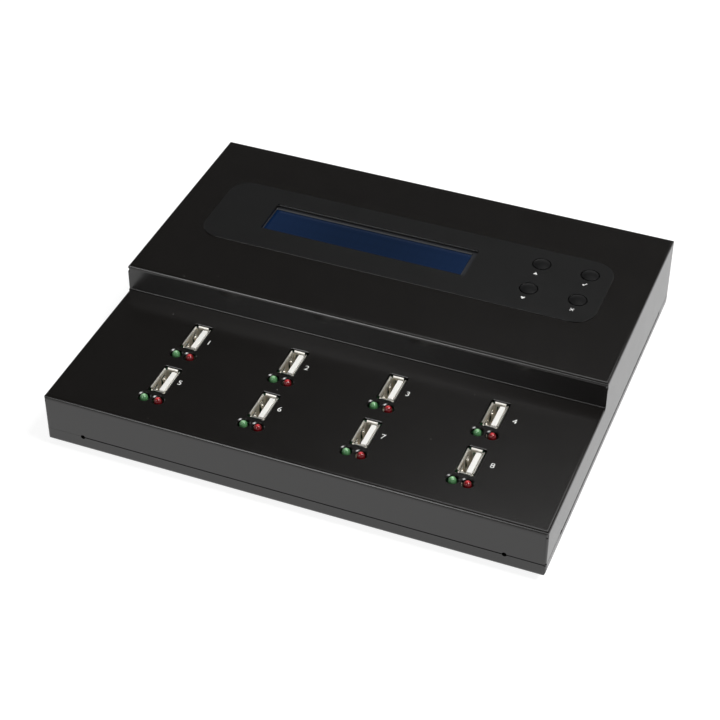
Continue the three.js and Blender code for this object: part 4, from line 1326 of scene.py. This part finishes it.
    def pan(self) -> Mesh:
        """Pan with rolled edges, joggled lips, open corners, pegs and holes.

        Returns:
            The pan's mesh.
        """
        tall = self.floor + self.seam - self.tight
        above = tall + OVERRUN
        tray = combined(self.tray(0.0, tall), Operation.CUT, self.tray(self.sheet, above))
        side, front, rear = self.lip_insets
        beyond = 2 * self.right
        flange, ends, sides = (
            between((-beyond, self.floor + low), (beyond, above))
            for low in (self.flange, self.lip[0], self.ledge[1])
        )
        lowered = combined(
            tray,
            Operation.CUT,
            prism(flange, self.left + side, self.right + OVERRUN, Axis.X),
            prism(flange, self.front + front, self.rear + OVERRUN, Axis.Y),
            prism(ends, self.left + side, self.right - side, Axis.X),
            prism(sides, self.front + front, self.rear - rear, Axis.Y),
        )
        diameter, inset, height = self.peg
        board = Box("main_board")
        foot, head = self.floor + self.sheet / 2, self.floor + height
        pegs = [
            prism(circle(diameter, (x, y), self.large_round), foot, head)
            for x in (board.low.x + inset, board.high.x - inset)
            for y in (board.low.y + inset, board.y, board.high.y - inset)
        ]
        joined = combined(lowered, Operation.JOIN, *self.lips(), *pegs)
        return shaded(combined(joined, Operation.CUT, *self.pan_cuts()))

    def build(self, shop: Workshop) -> None:
        """Makes the cover and the pan."""
        shop.make("cover_skin", self.cover(), Finishes.paint, replaces=["top_cover"])
        shop.make("pan_skin", self.pan(), Finishes.paint, replaces=["base_pan"])


@dataclass
class Sockets:
    """Eight upright USB sockets: shell with four rolled lips, moulding and contacts."""

    wall: float = 0.35 * MM
    radius: float = 0.9 * MM
    flare: float = 0.4 * MM
    roll: float = 0.8 * MM
    turn: float = math.pi / 3
    lips: Triple = mm(2.1, 6.0, 1.1)
    front_drop: float = 0.5 * MM
    leaf: Triple = mm(2.2, 5.6, 2.2)
    end_leaf: float = 1.7 * MM
    crest: float = 0.6
    leaf_tip: float = 0.44
    leaf_steps: int = 18
    slot: float = 0.45 * MM
    slot_round: float = 0.2 * MM
    slot_overlap: float = 0.1 * MM
    offset: float = 3.2 * MM
    bulge: float = 0.75 * MM
    end_bulge: float = 0.35 * MM
    metal: float = 0.26 * MM
    dimple: float = 0.42 * MM
    tongue: Triple = mm(2.1, 11.3, 0.5)
    tongue_gap: float = 0.32 * MM
    tongue_round: float = 0.22 * MM
    tongue_tip: tuple[Point, ...] = (mm(0.0, 0.3), mm(0.06, 0.12), mm(0.168, 0.0))
    base: Point = mm(0.05, 3.6)
    slack: float = 0.12 * MM
    contact: Triple = mm(1.0, 1.0, 0.16)
    contact_path: tuple[Point, ...] = (mm(0.02, 0.25), mm(-0.154, 0.0), mm(-0.176, -0.8), mm(-0.077, -2.0))
    contact_places: tuple[float, ...] = mm(-3.5, -1.0, 1.0, 3.5)

    def __post_init__(self) -> None:
        """Takes the shell's outer size from the frame and finds the tongue's place across it."""
        width, depth, self.height = Box("usb_shell_1").size
        self.width, self.depth = width - 2 * self.flare, depth - 2 * self.flare
        self.tongue_at = self.width / 2 - self.wall - self.tongue_gap - self.tongue[0] / 2

    def ring(self, out: float, z: float) -> Ring:
        """Shell's outline, grown by a given width, at a height."""
        return rectangle(self.width + 2 * out, self.depth + 2 * out, self.radius + out, steps=6), z

    def leaf_path(self, bulge: float) -> list[Point]:
        """Path (inward, z) of a spring leaf.

        Args:
            bulge: How far in its crest stands.

        Returns:
            The path from the leaf's root to its tip.
        """
        _, length, drop = self.leaf
        bottom = self.height - drop - length
        path = []
        for share in (k / self.leaf_steps for k in range(self.leaf_steps + 1)):
            if share < self.crest:
                inward = swing(0.0, bulge, share / self.crest)
            else:
                inward = swing(bulge, self.leaf_tip * bulge, (share - self.crest) / (1 - self.crest))
            path.append((inward, bottom + length * share))
        return path

    def tube(self) -> Mesh:
        """Shell's wall, its mouth rolled out all round and open at the corners.

        Returns:
            The wall's mesh.
        """
        sine, cosine = math.sin(self.turn), math.cos(self.turn)
        start = self.height - (self.roll + self.wall) * sine
        outer, inner = (
            [(foot, 0.0), *arc((self.roll, start), radius, math.pi, math.pi - self.turn, steps=6)]
            for foot, radius in ((0.0, self.roll), (-self.wall, self.roll + self.wall))
        )
        middle, rounding = self.roll + self.wall / 2, self.wall / 6
        tip = (self.roll - middle * cosine + rounding * sine, start + middle * sine + rounding * cosine)
        whole = skinned([self.ring(*place) for place in (*outer, tip, *reversed(inner))], closed=True)
        half_x, half_y, drop = self.lips
        reach = self.depth
        corners = [
            prism(between((x, y), (x + reach, y + reach)), self.height - drop, self.height + drop)
            for x in (half_x, -half_x - reach)
            for y in (half_y, -half_y - reach)
        ]
        front = rectangle(3 * half_x, reach, at=(0.0, -half_y - reach / 2))
        low = prism(front, self.height - self.front_drop, self.height + drop)
        return combined(whole, Operation.CUT, together(corners), low)

    def slot_outline(self, leaf: float, at: float) -> list[Point]:
        """Outline of the slot round a leaf.

        Args:
            leaf: The leaf's width.
            at: Where its middle lies across the wall.

        Returns:
            The slot's outline.
        """
        _, length, drop = self.leaf
        middle = (at, self.height - drop - length / 2 + self.slot / 2)
        return rectangle(leaf + 2 * self.slot, length + self.slot, self.slot_round, middle, steps=3)

    def shell(self) -> Mesh:
        """Drawn shell with slots and dimpled spring leaves, on the socket's axis.

        Returns:
            The shell's mesh.
        """
        width = self.leaf[0]
        reach = self.wall + self.slot_overlap
        slots, leaves = [], []
        for y in (-self.offset, self.offset):
            outline = self.slot_outline(width, y)
            slots.append(prism(outline, -self.width / 2 - MM, reach - self.width / 2, Axis.X))
            path = [(self.wall - self.width / 2 + u, z) for u, z in self.leaf_path(self.bulge)]
            leaves.append(prism(strip(path, self.metal), y - width / 2, y + width / 2, Axis.Y))
            inward, z = path[-4]
            sphere = arc((0.0, 0.0), self.dimple, -QUARTER, QUARTER, steps=10)[1:-1]
            ball = turned([(0.0, -self.dimple), *sphere, (0.0, self.dimple)], count=20)
            leaves.append(moved(ball, Matrix.Translation((inward, y, z))))
        for side in (-1, 1):
            faces = sorted((side * (self.depth / 2 + MM), side * (self.depth / 2 - reach)))
            slots.append(prism(self.slot_outline(self.end_leaf, 0.0), *faces, Axis.Y))
            path = [(side * (self.depth / 2 - self.wall - u), z) for u, z in self.leaf_path(self.end_bulge)]
            section = strip(path, -side * self.metal)
            leaves.append(prism(section, -self.end_leaf / 2, self.end_leaf / 2, Axis.X))
        cut = combined(self.tube(), Operation.CUT, together(slots))
        return shaded(combined(cut, Operation.JOIN, *leaves), crease=32)

    def moulding(self) -> Mesh:
        """Base and tongue, on the socket's axis.

        Returns:
            The moulding's mesh.
        """
        play = 2 * (self.wall + self.slack)
        inner = rectangle(self.width - play, self.depth - play, self.radius - self.wall, steps=4)
        width, depth, drop = self.tongue
        top = self.height - drop
        rings = []
        for inset, z in ((0.0, self.base[1] / 2), *((inset, top - fall) for inset, fall in self.tongue_tip)):
            size = (width - 2 * inset, depth - 2 * inset)
            rings.append((rectangle(*size, self.tongue_round, (self.tongue_at, 0.0), steps=3), z))
        return shaded(combined(prism(inner, *self.base), Operation.JOIN, skinned(rings)), crease=32)

    def contacts(self) -> Mesh:
        """Four contact strips on the tongue's open face, bent over below its tip.

        Returns:
            The contacts' mesh.
        """
        width, drop, thickness = self.contact
        face = self.tongue_at - self.tongue[0] / 2
        top = self.height - self.tongue[2] - drop
        path = [(face + u, top + v) for u, v in self.contact_path]
        section = strip([*path, (path[-1][0], self.base[1])], thickness)
        made = [prism(section, y - width / 2, y + width / 2, Axis.Y) for y in self.contact_places]
        return shaded(together(made), crease=40)

    def build(self, shop: Workshop) -> None:
        """Makes the eight sockets.

        Args:
            shop: Where the pieces are made.
        """
        pieces = (
            ("shell", self.shell(), Finishes.nickel, "usb_shell_"),
            ("moulding", self.moulding(), Finishes.ivory, "usb_insert_"),
            ("contacts", self.contacts(), Finishes.gold, ""),
        )
        for number in NUMBERS:
            box = Box(f"usb_shell_{number}")
            for name, mesh, finish, node in pieces:
                replaces = [f"{node}{number}"] if node else []
                at = (*box.plan, box.low.z)
                shop.make(f"socket_{name}_{number}", mesh, finish, at=at, replaces=replaces)


@dataclass
class Lamps:
    """Green and red 3 mm lamps before the sockets."""

    colours = {"green": Finishes.green, "red": Finishes.red}
    diameter: float = 3.0 * MM
    flange: Point = mm(3.8, 1.0)
    ease: float = 0.15 * MM
    body: float = 5.3 * MM
    lead: Triple = mm(0.5, 0.08, 0.02)
    pitch: float = 2.54 * MM

    def epoxy(self) -> Mesh:
        """Lamp body with its dome, the origin on its axis at the tip's height.

        Returns:
            The body's mesh.
        """
        radius, flange, ease = self.diameter / 2, self.flange[0] / 2, self.ease
        low, shelf = -self.body, self.flange[1] - self.body
        profile = [
            (0.0, low), (flange - ease, low), (flange, low + ease), (flange, shelf - ease),
            (flange - ease, shelf), (radius, shelf), *domed(radius, steps=10),
        ]
        return shaded(turned(profile, count=32), crease=40)

    def leads(self, drop: float) -> Mesh:
        """Two square leads down to the board, from the same origin.

        Args:
            drop: How far down they reach.

        Returns:
            The leads' mesh.
        """
        width, corner, bite = self.lead
        half = self.pitch / 2
        outlines = [rectangle(width, width, corner, (x, 0.0), steps=2) for x in (-half, half)]
        return shaded(together([prism(o, -drop, bite - self.body) for o in outlines]), crease=40)

    def build(self, shop: Workshop) -> None:
        """Makes the sixteen lamps.

        Args:
            shop: Where the pieces are made.
        """
        leads = self.leads(Box("led_green_1").size.z)
        for colour, finish in self.colours.items():
            epoxy = self.epoxy()
            for number in NUMBERS:
                node = f"led_{colour}_{number}"
                box = Box(node)
                at = (*box.plan, box.high.z)
                shop.make(f"lamp_{colour}_{number}", epoxy, finish, at=at, replaces=[node])
                shop.make(f"lamp_leads_{colour}_{number}", leads, Finishes.nickel, at=at)


@dataclass
class Display:
    """Panel film, window frame and display."""

    window: Triple = mm(87.3, 17.7, 0.5)
    window_at: Point = mm(-16.0, 37.25)
    film_radii: Point = mm(9.0, 8.94)
    film_ease: Point = mm(0.06, 0.06)
    bezel_radii: Point = mm(0.8, 0.6)
    bezel_ease: Point = mm(0.25, 0.25)
    bezel_sheet: float = 0.5 * MM
    hollow_radius: float = 0.2 * MM
    opening: Point = mm(84.6, 18.6)
    opening_radii: Point = mm(0.3, 0.8)
    opening_flare: Triple = mm(-0.5, 0.5, 0.2)
    cell_radii: Point = mm(0.3, 0.25)
    cell_ease: Point = mm(0.1, 0.1)

    def film(self) -> Mesh:
        """Thin film with its window and key holes.

        Returns:
            The film's mesh.
        """
        box = Box("panel_film")
        low, high = box.low.z, box.high.z
        sheet = slab(box.size.xy, self.film_radii, (low, high), self.film_ease, box.plan, steps=16)
        outlines = [rectangle(*self.window, self.window_at)]
        outlines += [circle(Keys.hole, Box(f"key_cap_{key}").plan) for key in Keys.names]
        cutters = [prism(outline, low - MM, high + MM) for outline in outlines]
        return shaded(combined(sheet, Operation.CUT, together(cutters)))

    def frame(self) -> Mesh:
        """Stamped metal frame round the display, its opening turned down a little.

        Returns:
            The frame's mesh.
        """
        box = Box("lcd_bezel")
        low, high, at = box.low.z, box.high.z, box.plan
        block = slab(box.size.xy, self.bezel_radii, (low, high), self.bezel_ease, at, steps=6)
        width, depth = (side - 2 * self.bezel_sheet for side in box.size.xy)
        inside = rectangle(width, depth, self.hollow_radius, at, steps=3)
        hollow = prism(inside, low - MM, high - self.bezel_sheet)
        *flare, proud = self.opening_flare
        cut = slab(self.opening, self.opening_radii, (low - MM, high + proud), flare, at, steps=4)
        return shaded(combined(block, Operation.CUT, hollow, cut))

    def cell(self) -> Mesh:
        """Display glass, the origin at its middle."""
        size = Box("lcd_cell").size
        return shaded(slab(size.xy, self.cell_radii, (-size.z / 2, size.z / 2), self.cell_ease, steps=3))

    def build(self, shop: Workshop) -> None:
        """Makes the film, the frame and the display.

        Args:
            shop: Where the pieces are made.
        """
        shop.make("film_sheet", self.film(), Finishes.film, replaces=["panel_film"])
        shop.make("display_frame", self.frame(), Finishes.bezel, replaces=["lcd_bezel"])
        box = Box("lcd_cell")
        at = (box.x, box.y, box.z)
        shop.make("display_cell", self.cell(), Finishes.display, at=at, replaces=["lcd_cell"])


@dataclass
class Keys:
    """Four round keys, each on a body of its own."""

    names = ("up", "ok", "down", "esc")
    hole: float = 7.6 * MM
    cap: float = 6.8 * MM
    flange: Triple = mm(9.4, 1.0, 2.1)
    stem: float = 3.4 * MM
    dome: float = 0.5 * MM
    easing: float = 0.35 * MM
    dome_steps: int = 12

    def profile(self, height: float) -> list[Point]:
        """Profile (radius, z) of a cap whose top is at 0.

        Args:
            height: How far down the cap's stem reaches.

        Returns:
            The profile's points.
        """
        radius, stem, flange = self.cap / 2, self.stem / 2, self.flange[0] / 2
        _, thickness, drop = self.flange
        low = -drop - thickness
        shoulder = radius - self.easing
        edge = arc((shoulder, -self.dome - self.easing), self.easing, 0.0, QUARTER, steps=6)[:-1]
        shares = [1 - k / self.dome_steps for k in range(self.dome_steps)]
        return [
            (0.0, -height), (stem, -height), (stem, low), (flange, low), (flange, -drop), (radius, -drop),
            *edge, *((shoulder * share, -self.dome * share**2) for share in shares), (0.0, 0.0),
        ]

    def build(self, shop: Workshop) -> None:
        """Makes the four keys.

        Args:
            shop: Where the pieces are made.
        """
        for key in self.names:
            node = f"key_cap_{key}"
            box = Box(node)
            mesh = shaded(turned(self.profile(box.size.z), count=64), crease=40)
            at = (*box.plan, box.high.z)
            shop.make(f"key_{key}", mesh, Finishes.keys, body=f"key_{key}", at=at, replaces=[node])


@dataclass
class RearPanel:
    """Power inlet and rocker switch in the rear wall."""

    inlet_axis: float = 6.5 * MM
    plate: Point = mm(3.0, 0.5)
    block_round: float = 0.4 * MM
    barrel: Point = mm(8.6, 6.3)
    bore_depth: float = 9.5 * MM
    bore_ease: float = 0.3 * MM
    pin: Point = mm(2.0, 0.6)
    sleeve: Triple = mm(0.25, 0.02, 1.2)
    switch_wall: float = 0.8 * MM
    switch_radii: Point = mm(0.3, 0.6)
    pocket_depth: float = 7.0 * MM
    rim: float = 0.15 * MM
    rocker_radius: float = 6.3 * MM
    rocker_width: float = 7.4 * MM
    crest: float = math.radians(28)
    skirt: float = math.radians(-12)
    tilt: float = math.radians(8)
    valley: float = 2.2 * MM
    keel: Triple = mm(2.3, 2.4, 0.7)
    keel_taper: float = 0.6
    pivot: float = 3.0 * MM
    pivot_pin: Point = mm(1.6, 0.5)
    pivot_hole: Point = mm(1.9, 0.2)
    ease: float = 0.3 * MM
    mark: Triple = mm(2.2, 0.45, 3.4)
    ink: float = 0.02 * MM

    def __post_init__(self) -> None:
        """Finds how far back the rocker's axis lies, and how it stands at rest."""
        self.pivot_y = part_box("top_cover")[1].y - self.pivot
        self.rest = Matrix.Rotation(-self.tilt, 4, "Z")

    def inlet(self) -> tuple[Mesh, Mesh, Mesh]:
        """Power inlet, in place.

        Returns:
            The meshes of its housing, its metal sleeve and its pin.
        """
        box = Box("dc_inlet")
        low, high, width = box.low, box.high, box.size.x
        face = high.y
        x, z = at = (box.x, low.z + self.inlet_axis)
        outer, bore = self.barrel
        plate, corner = self.plate
        lower = rectangle(width, z - low.z, self.block_round, (x, (low.z + z) / 2), steps=4)
        housing = combined(
            prism(rectangle(width, box.size.z, corner, box.face, steps=4), face - plate, face, Axis.Y),
            Operation.JOIN,
            prism(circle(outer, at), low.y, face - plate / 2, Axis.Y),
            prism(lower, low.y, face - plate / 2, Axis.Y),
        )
        ease, floor = self.bore_ease, face - self.bore_depth
        mouth = bored((bore, bore + 4 * ease), (floor, face - ease, face + ease), at, Axis.Y)
        wall, gap, drop = self.sleeve
        start, end = floor + wall, face - drop
        ring = prism(circle(bore - gap, at), start, end, Axis.Y)
        hole = prism(circle(bore - 2 * wall, at), start - MM, end + MM, Axis.Y)
        diameter, drop = self.pin
        length = self.bore_depth - drop
        rod = turned([(0.0, -length), (diameter / 2, -length), *domed(diameter / 2, steps=6)], count=24)
        place = Matrix.Translation((x, face - drop, z)) @ Matrix.Rotation(-QUARTER, 4, "X")
        return (
            shaded(combined(housing, Operation.CUT, mouth)),
            shaded(combined(ring, Operation.CUT, hole)),
            shaded(moved(rod, place), crease=40),
        )

    def switch(self) -> Mesh:
        """Switch housing with the pocket that its rocker turns in.

        Returns:
            The housing's mesh.
        """
        box = Box("power_switch")
        at, rim, face = box.face, self.rim, box.high.y
        _, radius = self.switch_radii
        size = (box.size.x, box.size.z)
        block = slab(size, (radius, radius), (box.low.y, face), (rim / 2, rim), at, steps=5, axis=Axis.Y)
        inner = [side - 2 * self.switch_wall for side in size]
        levels = (face - self.pocket_depth, face + rim)
        mouth = slab(inner, self.switch_radii, levels, (-rim, 2 * rim), at, steps=4, axis=Axis.Y)
        diameter, skin = self.pivot_hole
        axle = circle(diameter, (box.x, self.pivot_y), count=24)
        hole = prism(axle, box.low.z + skin, box.high.z - skin)
        return shaded(combined(block, Operation.CUT, mouth, hole))

    def outline(self, grow: float = 0.0) -> list[Point]:
        """Rocker's outline about its axis, with the pressed face towards +v.

        Args:
            grow: How far the outline is grown.

        Returns:
            The closed outline.
        """
        side = arc((0.0, 0.0), self.rocker_radius + grow, self.skirt, self.crest, steps=8)
        u, v = side[-1]
        valley = self.valley + grow
        shares = [1 - k / 10 for k in range(1, 20)]
        depth, half, rise = self.keel
        low, narrow = side[0][1] - rise, half * self.keel_taper
        return [
            *side,
            *((u * share, valley + (v - valley) * share**2) for share in shares),
            *((-u, v) for u, v in reversed(side)),
            (-half, low), (-narrow, -depth), (narrow, -depth), (half, low),
        ]

    def rocker(self) -> Mesh:
        """Rocker on its two pivot pins, the origin on its axis.

        Returns:
            The rocker's mesh.
        """
        half = self.rocker_width / 2
        full = self.outline()
        slim = [(u * (1 - self.ease / self.rocker_radius), v - self.ease * (v > 0)) for u, v in full]
        body = skinned([(slim, -half), (full, self.ease - half), (full, half - self.ease), (slim, half)])
        diameter, length = self.pivot_pin
        pins = prism(circle(diameter, count=24), -half - length, half + length)
        return moved(combined(body, Operation.JOIN, pins), self.rest)

    def marks(self) -> Mesh:
        """Plain stroke and ring printed on the rocker's two halves.

        Returns:
            The marks' mesh.
        """
        height, stroke, shift = self.mark
        reach, half = self.rocker_radius, self.rocker_width
        bar = prism(rectangle(stroke, height, at=(shift, 0.0)), 0.0, reach, Axis.Y)
        disc = prism(circle(height, (-shift, 0.0)), 0.0, reach, Axis.Y)
        middle = prism(circle(height - 2 * stroke, (-shift, 0.0)), -MM, reach + MM, Axis.Y)
        printed = together([bar, combined(disc, Operation.CUT, middle)])
        over, under = self.outline(self.ink), self.outline(-self.ink)
        skin = combined(prism(over, -half, half), Operation.CUT, prism(under, -half - MM, half + MM))
        return moved(combined(printed, Operation.COMMON, skin), self.rest)

    def build(self, shop: Workshop) -> None:
        """Makes the inlet, the switch and its rocker.

        Args:
            shop: Where the pieces are made.
        """
        housing, sleeve, pin = self.inlet()
        shop.make("inlet_housing", housing, Finishes.plastic, replaces=["dc_inlet"])
        shop.make("inlet_sleeve", sleeve, Finishes.nickel)
        shop.make("inlet_pin", pin, Finishes.nickel)
        shop.make("switch_housing", self.switch(), Finishes.plastic, replaces=["power_switch"])
        x, z = Box("power_switch").face
        at = (x, self.pivot_y, z)
        rocker = shaded(self.rocker(), crease=34)
        shop.make("rocker_cap", rocker, Finishes.plastic, body="rocker", at=at, replaces=["power_rocker"])
        shop.make("rocker_marks", shaded(self.marks(), crease=40), Finishes.ink, body="rocker", at=at)


@dataclass
class Hardware:
    """Rubber feet under the pan and the screws that hold the cover."""

    sole: float = 4.1 * MM
    foot_round: float = 0.5 * MM
    foot_dish: Point = mm(2.2, 0.35)
    foot_rim: tuple[Point, ...] = (mm(5.0, 0.2), mm(4.9, 0.0))
    head: Triple = mm(5.6, 2.0, 0.6)
    head_rise: Point = mm(0.03, 0.63)
    shank: float = 2.9 * MM
    thread: Point = mm(0.5, 0.18)
    point: float = 0.4 * MM
    recess: Triple = mm(3.0, 0.7, 1.1)
    recess_round: float = 0.1 * MM
    recess_shares: Triple = (1.04, 0.62, 0.8)

    def foot(self) -> Mesh:
        """Foot that widens to the pan, with a dished sole, the origin on the floor.

        Returns:
            The foot's mesh.
        """
        height = Box("rubber_foot_1").size.z
        radius, dish = self.foot_dish
        edge = arc((self.sole, self.foot_round), self.foot_round, -QUARTER, 0.0, steps=6)[1:]
        profile = [(radius * share, dish * (1 - share * share)) for share in (k / 5 for k in range(6))]
        profile += [*edge, *((out, height - drop) for out, drop in self.foot_rim), (0.0, height)]
        return shaded(turned(profile), crease=40)

    def screw(self, length: float) -> Mesh:
        """Pan-head screw with a cross recess, the head's top at 0 and the shank above it.

        Args:
            length: Length of the whole screw.

        Returns:
            The screw's mesh.
        """
        width, height, round_ = self.head
        crown, rise = self.head_rise
        radius, shank = width / 2, self.shank / 2
        pitch, depth = self.thread
        edge = arc((radius - round_, rise), round_, -QUARTER, 0.0, steps=6)
        profile = [(0.0, 0.0), (radius - 2 * round_, crown), *edge, (radius, height), (shank, height)]
        z = height
        while z < length - 2 * pitch:
            profile += [(shank - depth, z + pitch / 2), (shank, z + pitch)]
            z += pitch
        profile += [(shank - self.point, length), (0.0, length)]
        span, slot, deep = self.recess
        mouth, along, across = self.recess_shares
        arms = []
        for u, v in ((span, slot), (slot, span)):
            wide = rectangle(mouth * u, mouth * v, self.recess_round, steps=2)
            narrow = rectangle(along * u, across * v, self.recess_round, steps=2)
            arms.append(skinned([(wide, -MM), (wide, 0.0), (narrow, deep)]))
        return shaded(combined(turned(profile, count=36), Operation.CUT, *arms), crease=30)

    def build(self, shop: Workshop) -> None:
        """Makes the feet and the screws.

        Args:
            shop: Where the pieces are made.
        """
        foot = self.foot()
        for number in range(1, 5):
            box = Box(f"rubber_foot_{number}")
            at = (*box.plan, box.low.z)
            shop.make(f"foot_{number}", foot, Finishes.rubber, at=at, replaces=[f"rubber_foot_{number}"])
        for number in (*FRONT_SCREWS, *REAR_SCREWS):
            node = f"cover_screw_{number}"
            box = Box(node)
            if number in FRONT_SCREWS:
                mesh, at = self.screw(box.size.z), (box.x, box.y, box.low.z)
            else:
                mesh = moved(self.screw(box.size.y), Matrix.Rotation(QUARTER, 4, "X"))
                at = (box.x, box.high.y, box.z)
            shop.make(f"screw_{number}", mesh, Finishes.steel, at=at, replaces=[node])


class Mark(Enum):
    """Plain symbols printed before the keys, as outlines in shares of the symbol's height."""

    UP = ((-0.5, 0.0), (0.5, 0.0), (0.0, 0.85))
    DOWN = ((-0.5, 0.85), (0.0, 0.0), (0.5, 0.85))
    OK = ((-0.5, 0.42), (-0.34, 0.6), (-0.12, 0.34), (0.4, 0.95), (0.56, 0.8), (-0.12, 0.0))
    ESC = (
        (-0.45, 0.12), (-0.33, 0.0), (0.0, 0.33), (0.33, 0.0), (0.45, 0.12), (0.12, 0.45),
        (0.45, 0.78), (0.33, 0.9), (0.0, 0.57), (-0.33, 0.9), (-0.45, 0.78), (-0.12, 0.45),
    )


@dataclass
class Print:
    """White numbers beside the sockets and symbols before the keys."""

    number_height: float = 2.5 * MM
    digit_share: float = 0.7
    number_columns: tuple[float, ...] = mm(-54.0, -13.35, 27.35, 69.05)
    number_rows: Point = mm(-33.9, -59.5)
    symbol_height: float = 1.8 * MM
    symbol_shift: Point = mm(-0.4, -7.4)
    ink: float = 0.012 * MM

    def digit(self, text: str) -> Mesh:
        """Mesh of a printed number.

        Args:
            text: The number.

        Returns:
            The mesh, its middle at the origin.
        """
        curve = bpy.data.curves.new("digit", "FONT")
        curve.align_x = curve.align_y = "CENTER"
        curve.body = text
        curve.size = self.number_height / self.digit_share
        curve.extrude = self.ink / 2
        holder = placed("digit", curve)
        mesh = baked(holder)
        bpy.data.objects.remove(holder)
        return shaded(mesh, crease=40)

    def build(self, shop: Workshop, casing: Casing) -> None:
        """Prints the numbers and symbols.

        Args:
            shop: Where the pieces are made.
            casing: The casing whose deck carries the numbers.
        """
        for number in NUMBERS:
            row, column = divmod(number - 1, len(self.number_columns))
            at = (self.number_columns[column], self.number_rows[row], casing.deck + self.ink)
            shop.make(f"number_{number}", self.digit(str(number)), Finishes.ink, at=at)
        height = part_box("panel_film")[1].z + self.ink / 2
        for key in Keys.names:
            x, y = Box(f"key_cap_{key}").plan
            outline = [(u * self.symbol_height, v * self.symbol_height) for u, v in Mark[key.upper()].value]
            mesh = shaded(prism(outline, 0.0, self.ink), crease=40)
            at = (x + self.symbol_shift[0], y + self.symbol_shift[1], height)
            shop.make(f"symbol_{key}", mesh, Finishes.ink, at=at)


@dataclass
class Studio:
    """Pale floor that turns up into a low backdrop, soft lamps and the camera."""

    radius: float = 3.2
    middle: float = 0.01
    wall: float = 0.8
    cove: float = 0.5
    sides: int = 64
    paper_tones: Point = (0.30, 0.33)
    paper_glow: float = 0.85
    air: float = 0.075
    sensor: float = 36.0
    lens: float = 95.09
    clip: Point = (0.05, 20.0)
    eye: Triple = (0.20710, -0.54073, 0.48170)
    right: Triple = (0.929789, 0.368074, 0.003704)
    up: Triple = (-0.236309, 0.589162, 0.772688)

    def backdrop(self) -> None:
        """Floor and backdrop, white to the eye and in reflections, with the object's shadow."""
        bend = arc((self.radius - self.cove, self.cove), self.cove, -QUARTER, 0.0, steps=8)
        profile = [(self.middle, 0.0), *bend, (self.radius, self.wall)]
        shape = bmesh.new()
        loops = [
            [shape.verts.new((x, y, z)) for x, y in circle(2 * out, count=self.sides)] for out, z in profile
        ]
        shape.faces.new(loops[0])
        for low, high in zip(loops, loops[1:]):
            for k in range(self.sides):
                after = (k + 1) % self.sides
                shape.faces.new((low[k], low[after], high[after], high[k]))
        mesh = as_mesh(shape, "backdrop")
        mesh.materials.append(self.paper())
        floor = placed("floor", mesh)

    def paper(self) -> bpy.types.Material:
        """White paper that shows as white to camera, glossy and transmission rays.

        Returns:
            The paper's material.
        """
        material = bpy.data.materials.new("studio_paper")
        material.use_nodes = True
        graph = Graph(material.node_tree)
        vector = graph.add("TexCoord").outputs["Object"]
        noise = graph.add("TexNoise", {"Vector": vector, "Scale": 3.0, "Detail": 2.0})
        tint = graph.mix(noise.outputs[0], *((tone, tone, tone) for tone in self.paper_tones))
        matte = graph.add("BsdfDiffuse", {"Color": tint})
        path = graph.add("LightPath").outputs
        seen = graph.math("MAXIMUM", path["Is Camera Ray"], path["Is Glossy Ray"])
        seen = graph.math("MAXIMUM", seen, path["Is Transmission Ray"])
        strength = graph.math("MULTIPLY", seen, self.paper_glow)
        glow = graph.add("Emission", {"Color": (1.0, 1.0, 1.0, 1.0), "Strength": strength})
        both = graph.add("AddShader", {0: matte.outputs[0], 1: glow.outputs[0]})
        graph.add("OutputMaterial", {"Surface": both.outputs[0]})
        return material

    @staticmethod
    def lamp(name: str, at: Triple, size: float, power: float) -> None:
        """Square soft box that faces the object.

        Args:
            name: The lamp's name.
            at: Its place.
            size: Length of its side.
            power: Its power in watts.
        """
        light = bpy.data.lights.new(name, "AREA")
        light.shape = "SQUARE"
        light.size = size
        light.energy = power
        placed(name, light, at).rotation_euler = (-Vector(at)).to_track_quat("-Z", "Y").to_euler()

    def camera(self) -> None:
        """Camera at the photograph's viewpoint."""
        data = bpy.data.cameras.new("camera")
        data.sensor_width = self.sensor
        data.lens = self.lens
        data.clip_start, data.clip_end = self.clip
        holder = placed("camera", data)
        right, up = Vector(self.right), Vector(self.up)
        turn = Matrix((right, up, right.cross(up))).transposed().to_4x4()
        holder.matrix_world = Matrix.Translation(self.eye) @ turn
        bpy.context.scene.camera = holder

    def build(self) -> None:
        """Sets the stage."""
        scene = bpy.context.scene
        scene.view_settings.view_transform = "Standard"
        world = bpy.data.worlds.new("studio_air")
        world.use_nodes = True
        world.node_tree.nodes["Background"].inputs["Color"].default_value = (*(self.air,) * 3, 1.0)
        scene.world = world
        self.backdrop()
        self.lamp("side_soft_box", (0.9, 0.0, 1.5), size=0.7, power=25.0)
        self.lamp("front_soft_box", (-0.5, -1.2, 1.12), size=0.5, power=6.0)
        self.lamp("rear_soft_box", (0.0, 0.82, 1.58), size=0.7, power=3.8)
        self.camera()


def main() -> None:
    """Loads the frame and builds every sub-assembly."""
    logging.basicConfig(level=logging.INFO, format="%(name)s: %(message)s")
    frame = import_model()
    Studio().build()
    shop = Workshop(Effects())
    casing = Casing()
    for part in (casing, Sockets(), Lamps(), Display(), Keys(), RearPanel(), Hardware()):
        part.build(shop)
    Print().build(shop, casing)
    dressed = {f"{board}_board": Finishes.laminate for board in ("lcd", "control", "main")}
    dressed["ribbon_cable"] = Finishes.cable
    dressed |= {f"tact_switch_{key}": Finishes.plastic for key in Keys.names}
    for name, finish in dressed.items():
        shop.dress(frame["nodes"][name], finish)


if __name__ == "__main__":
    main()
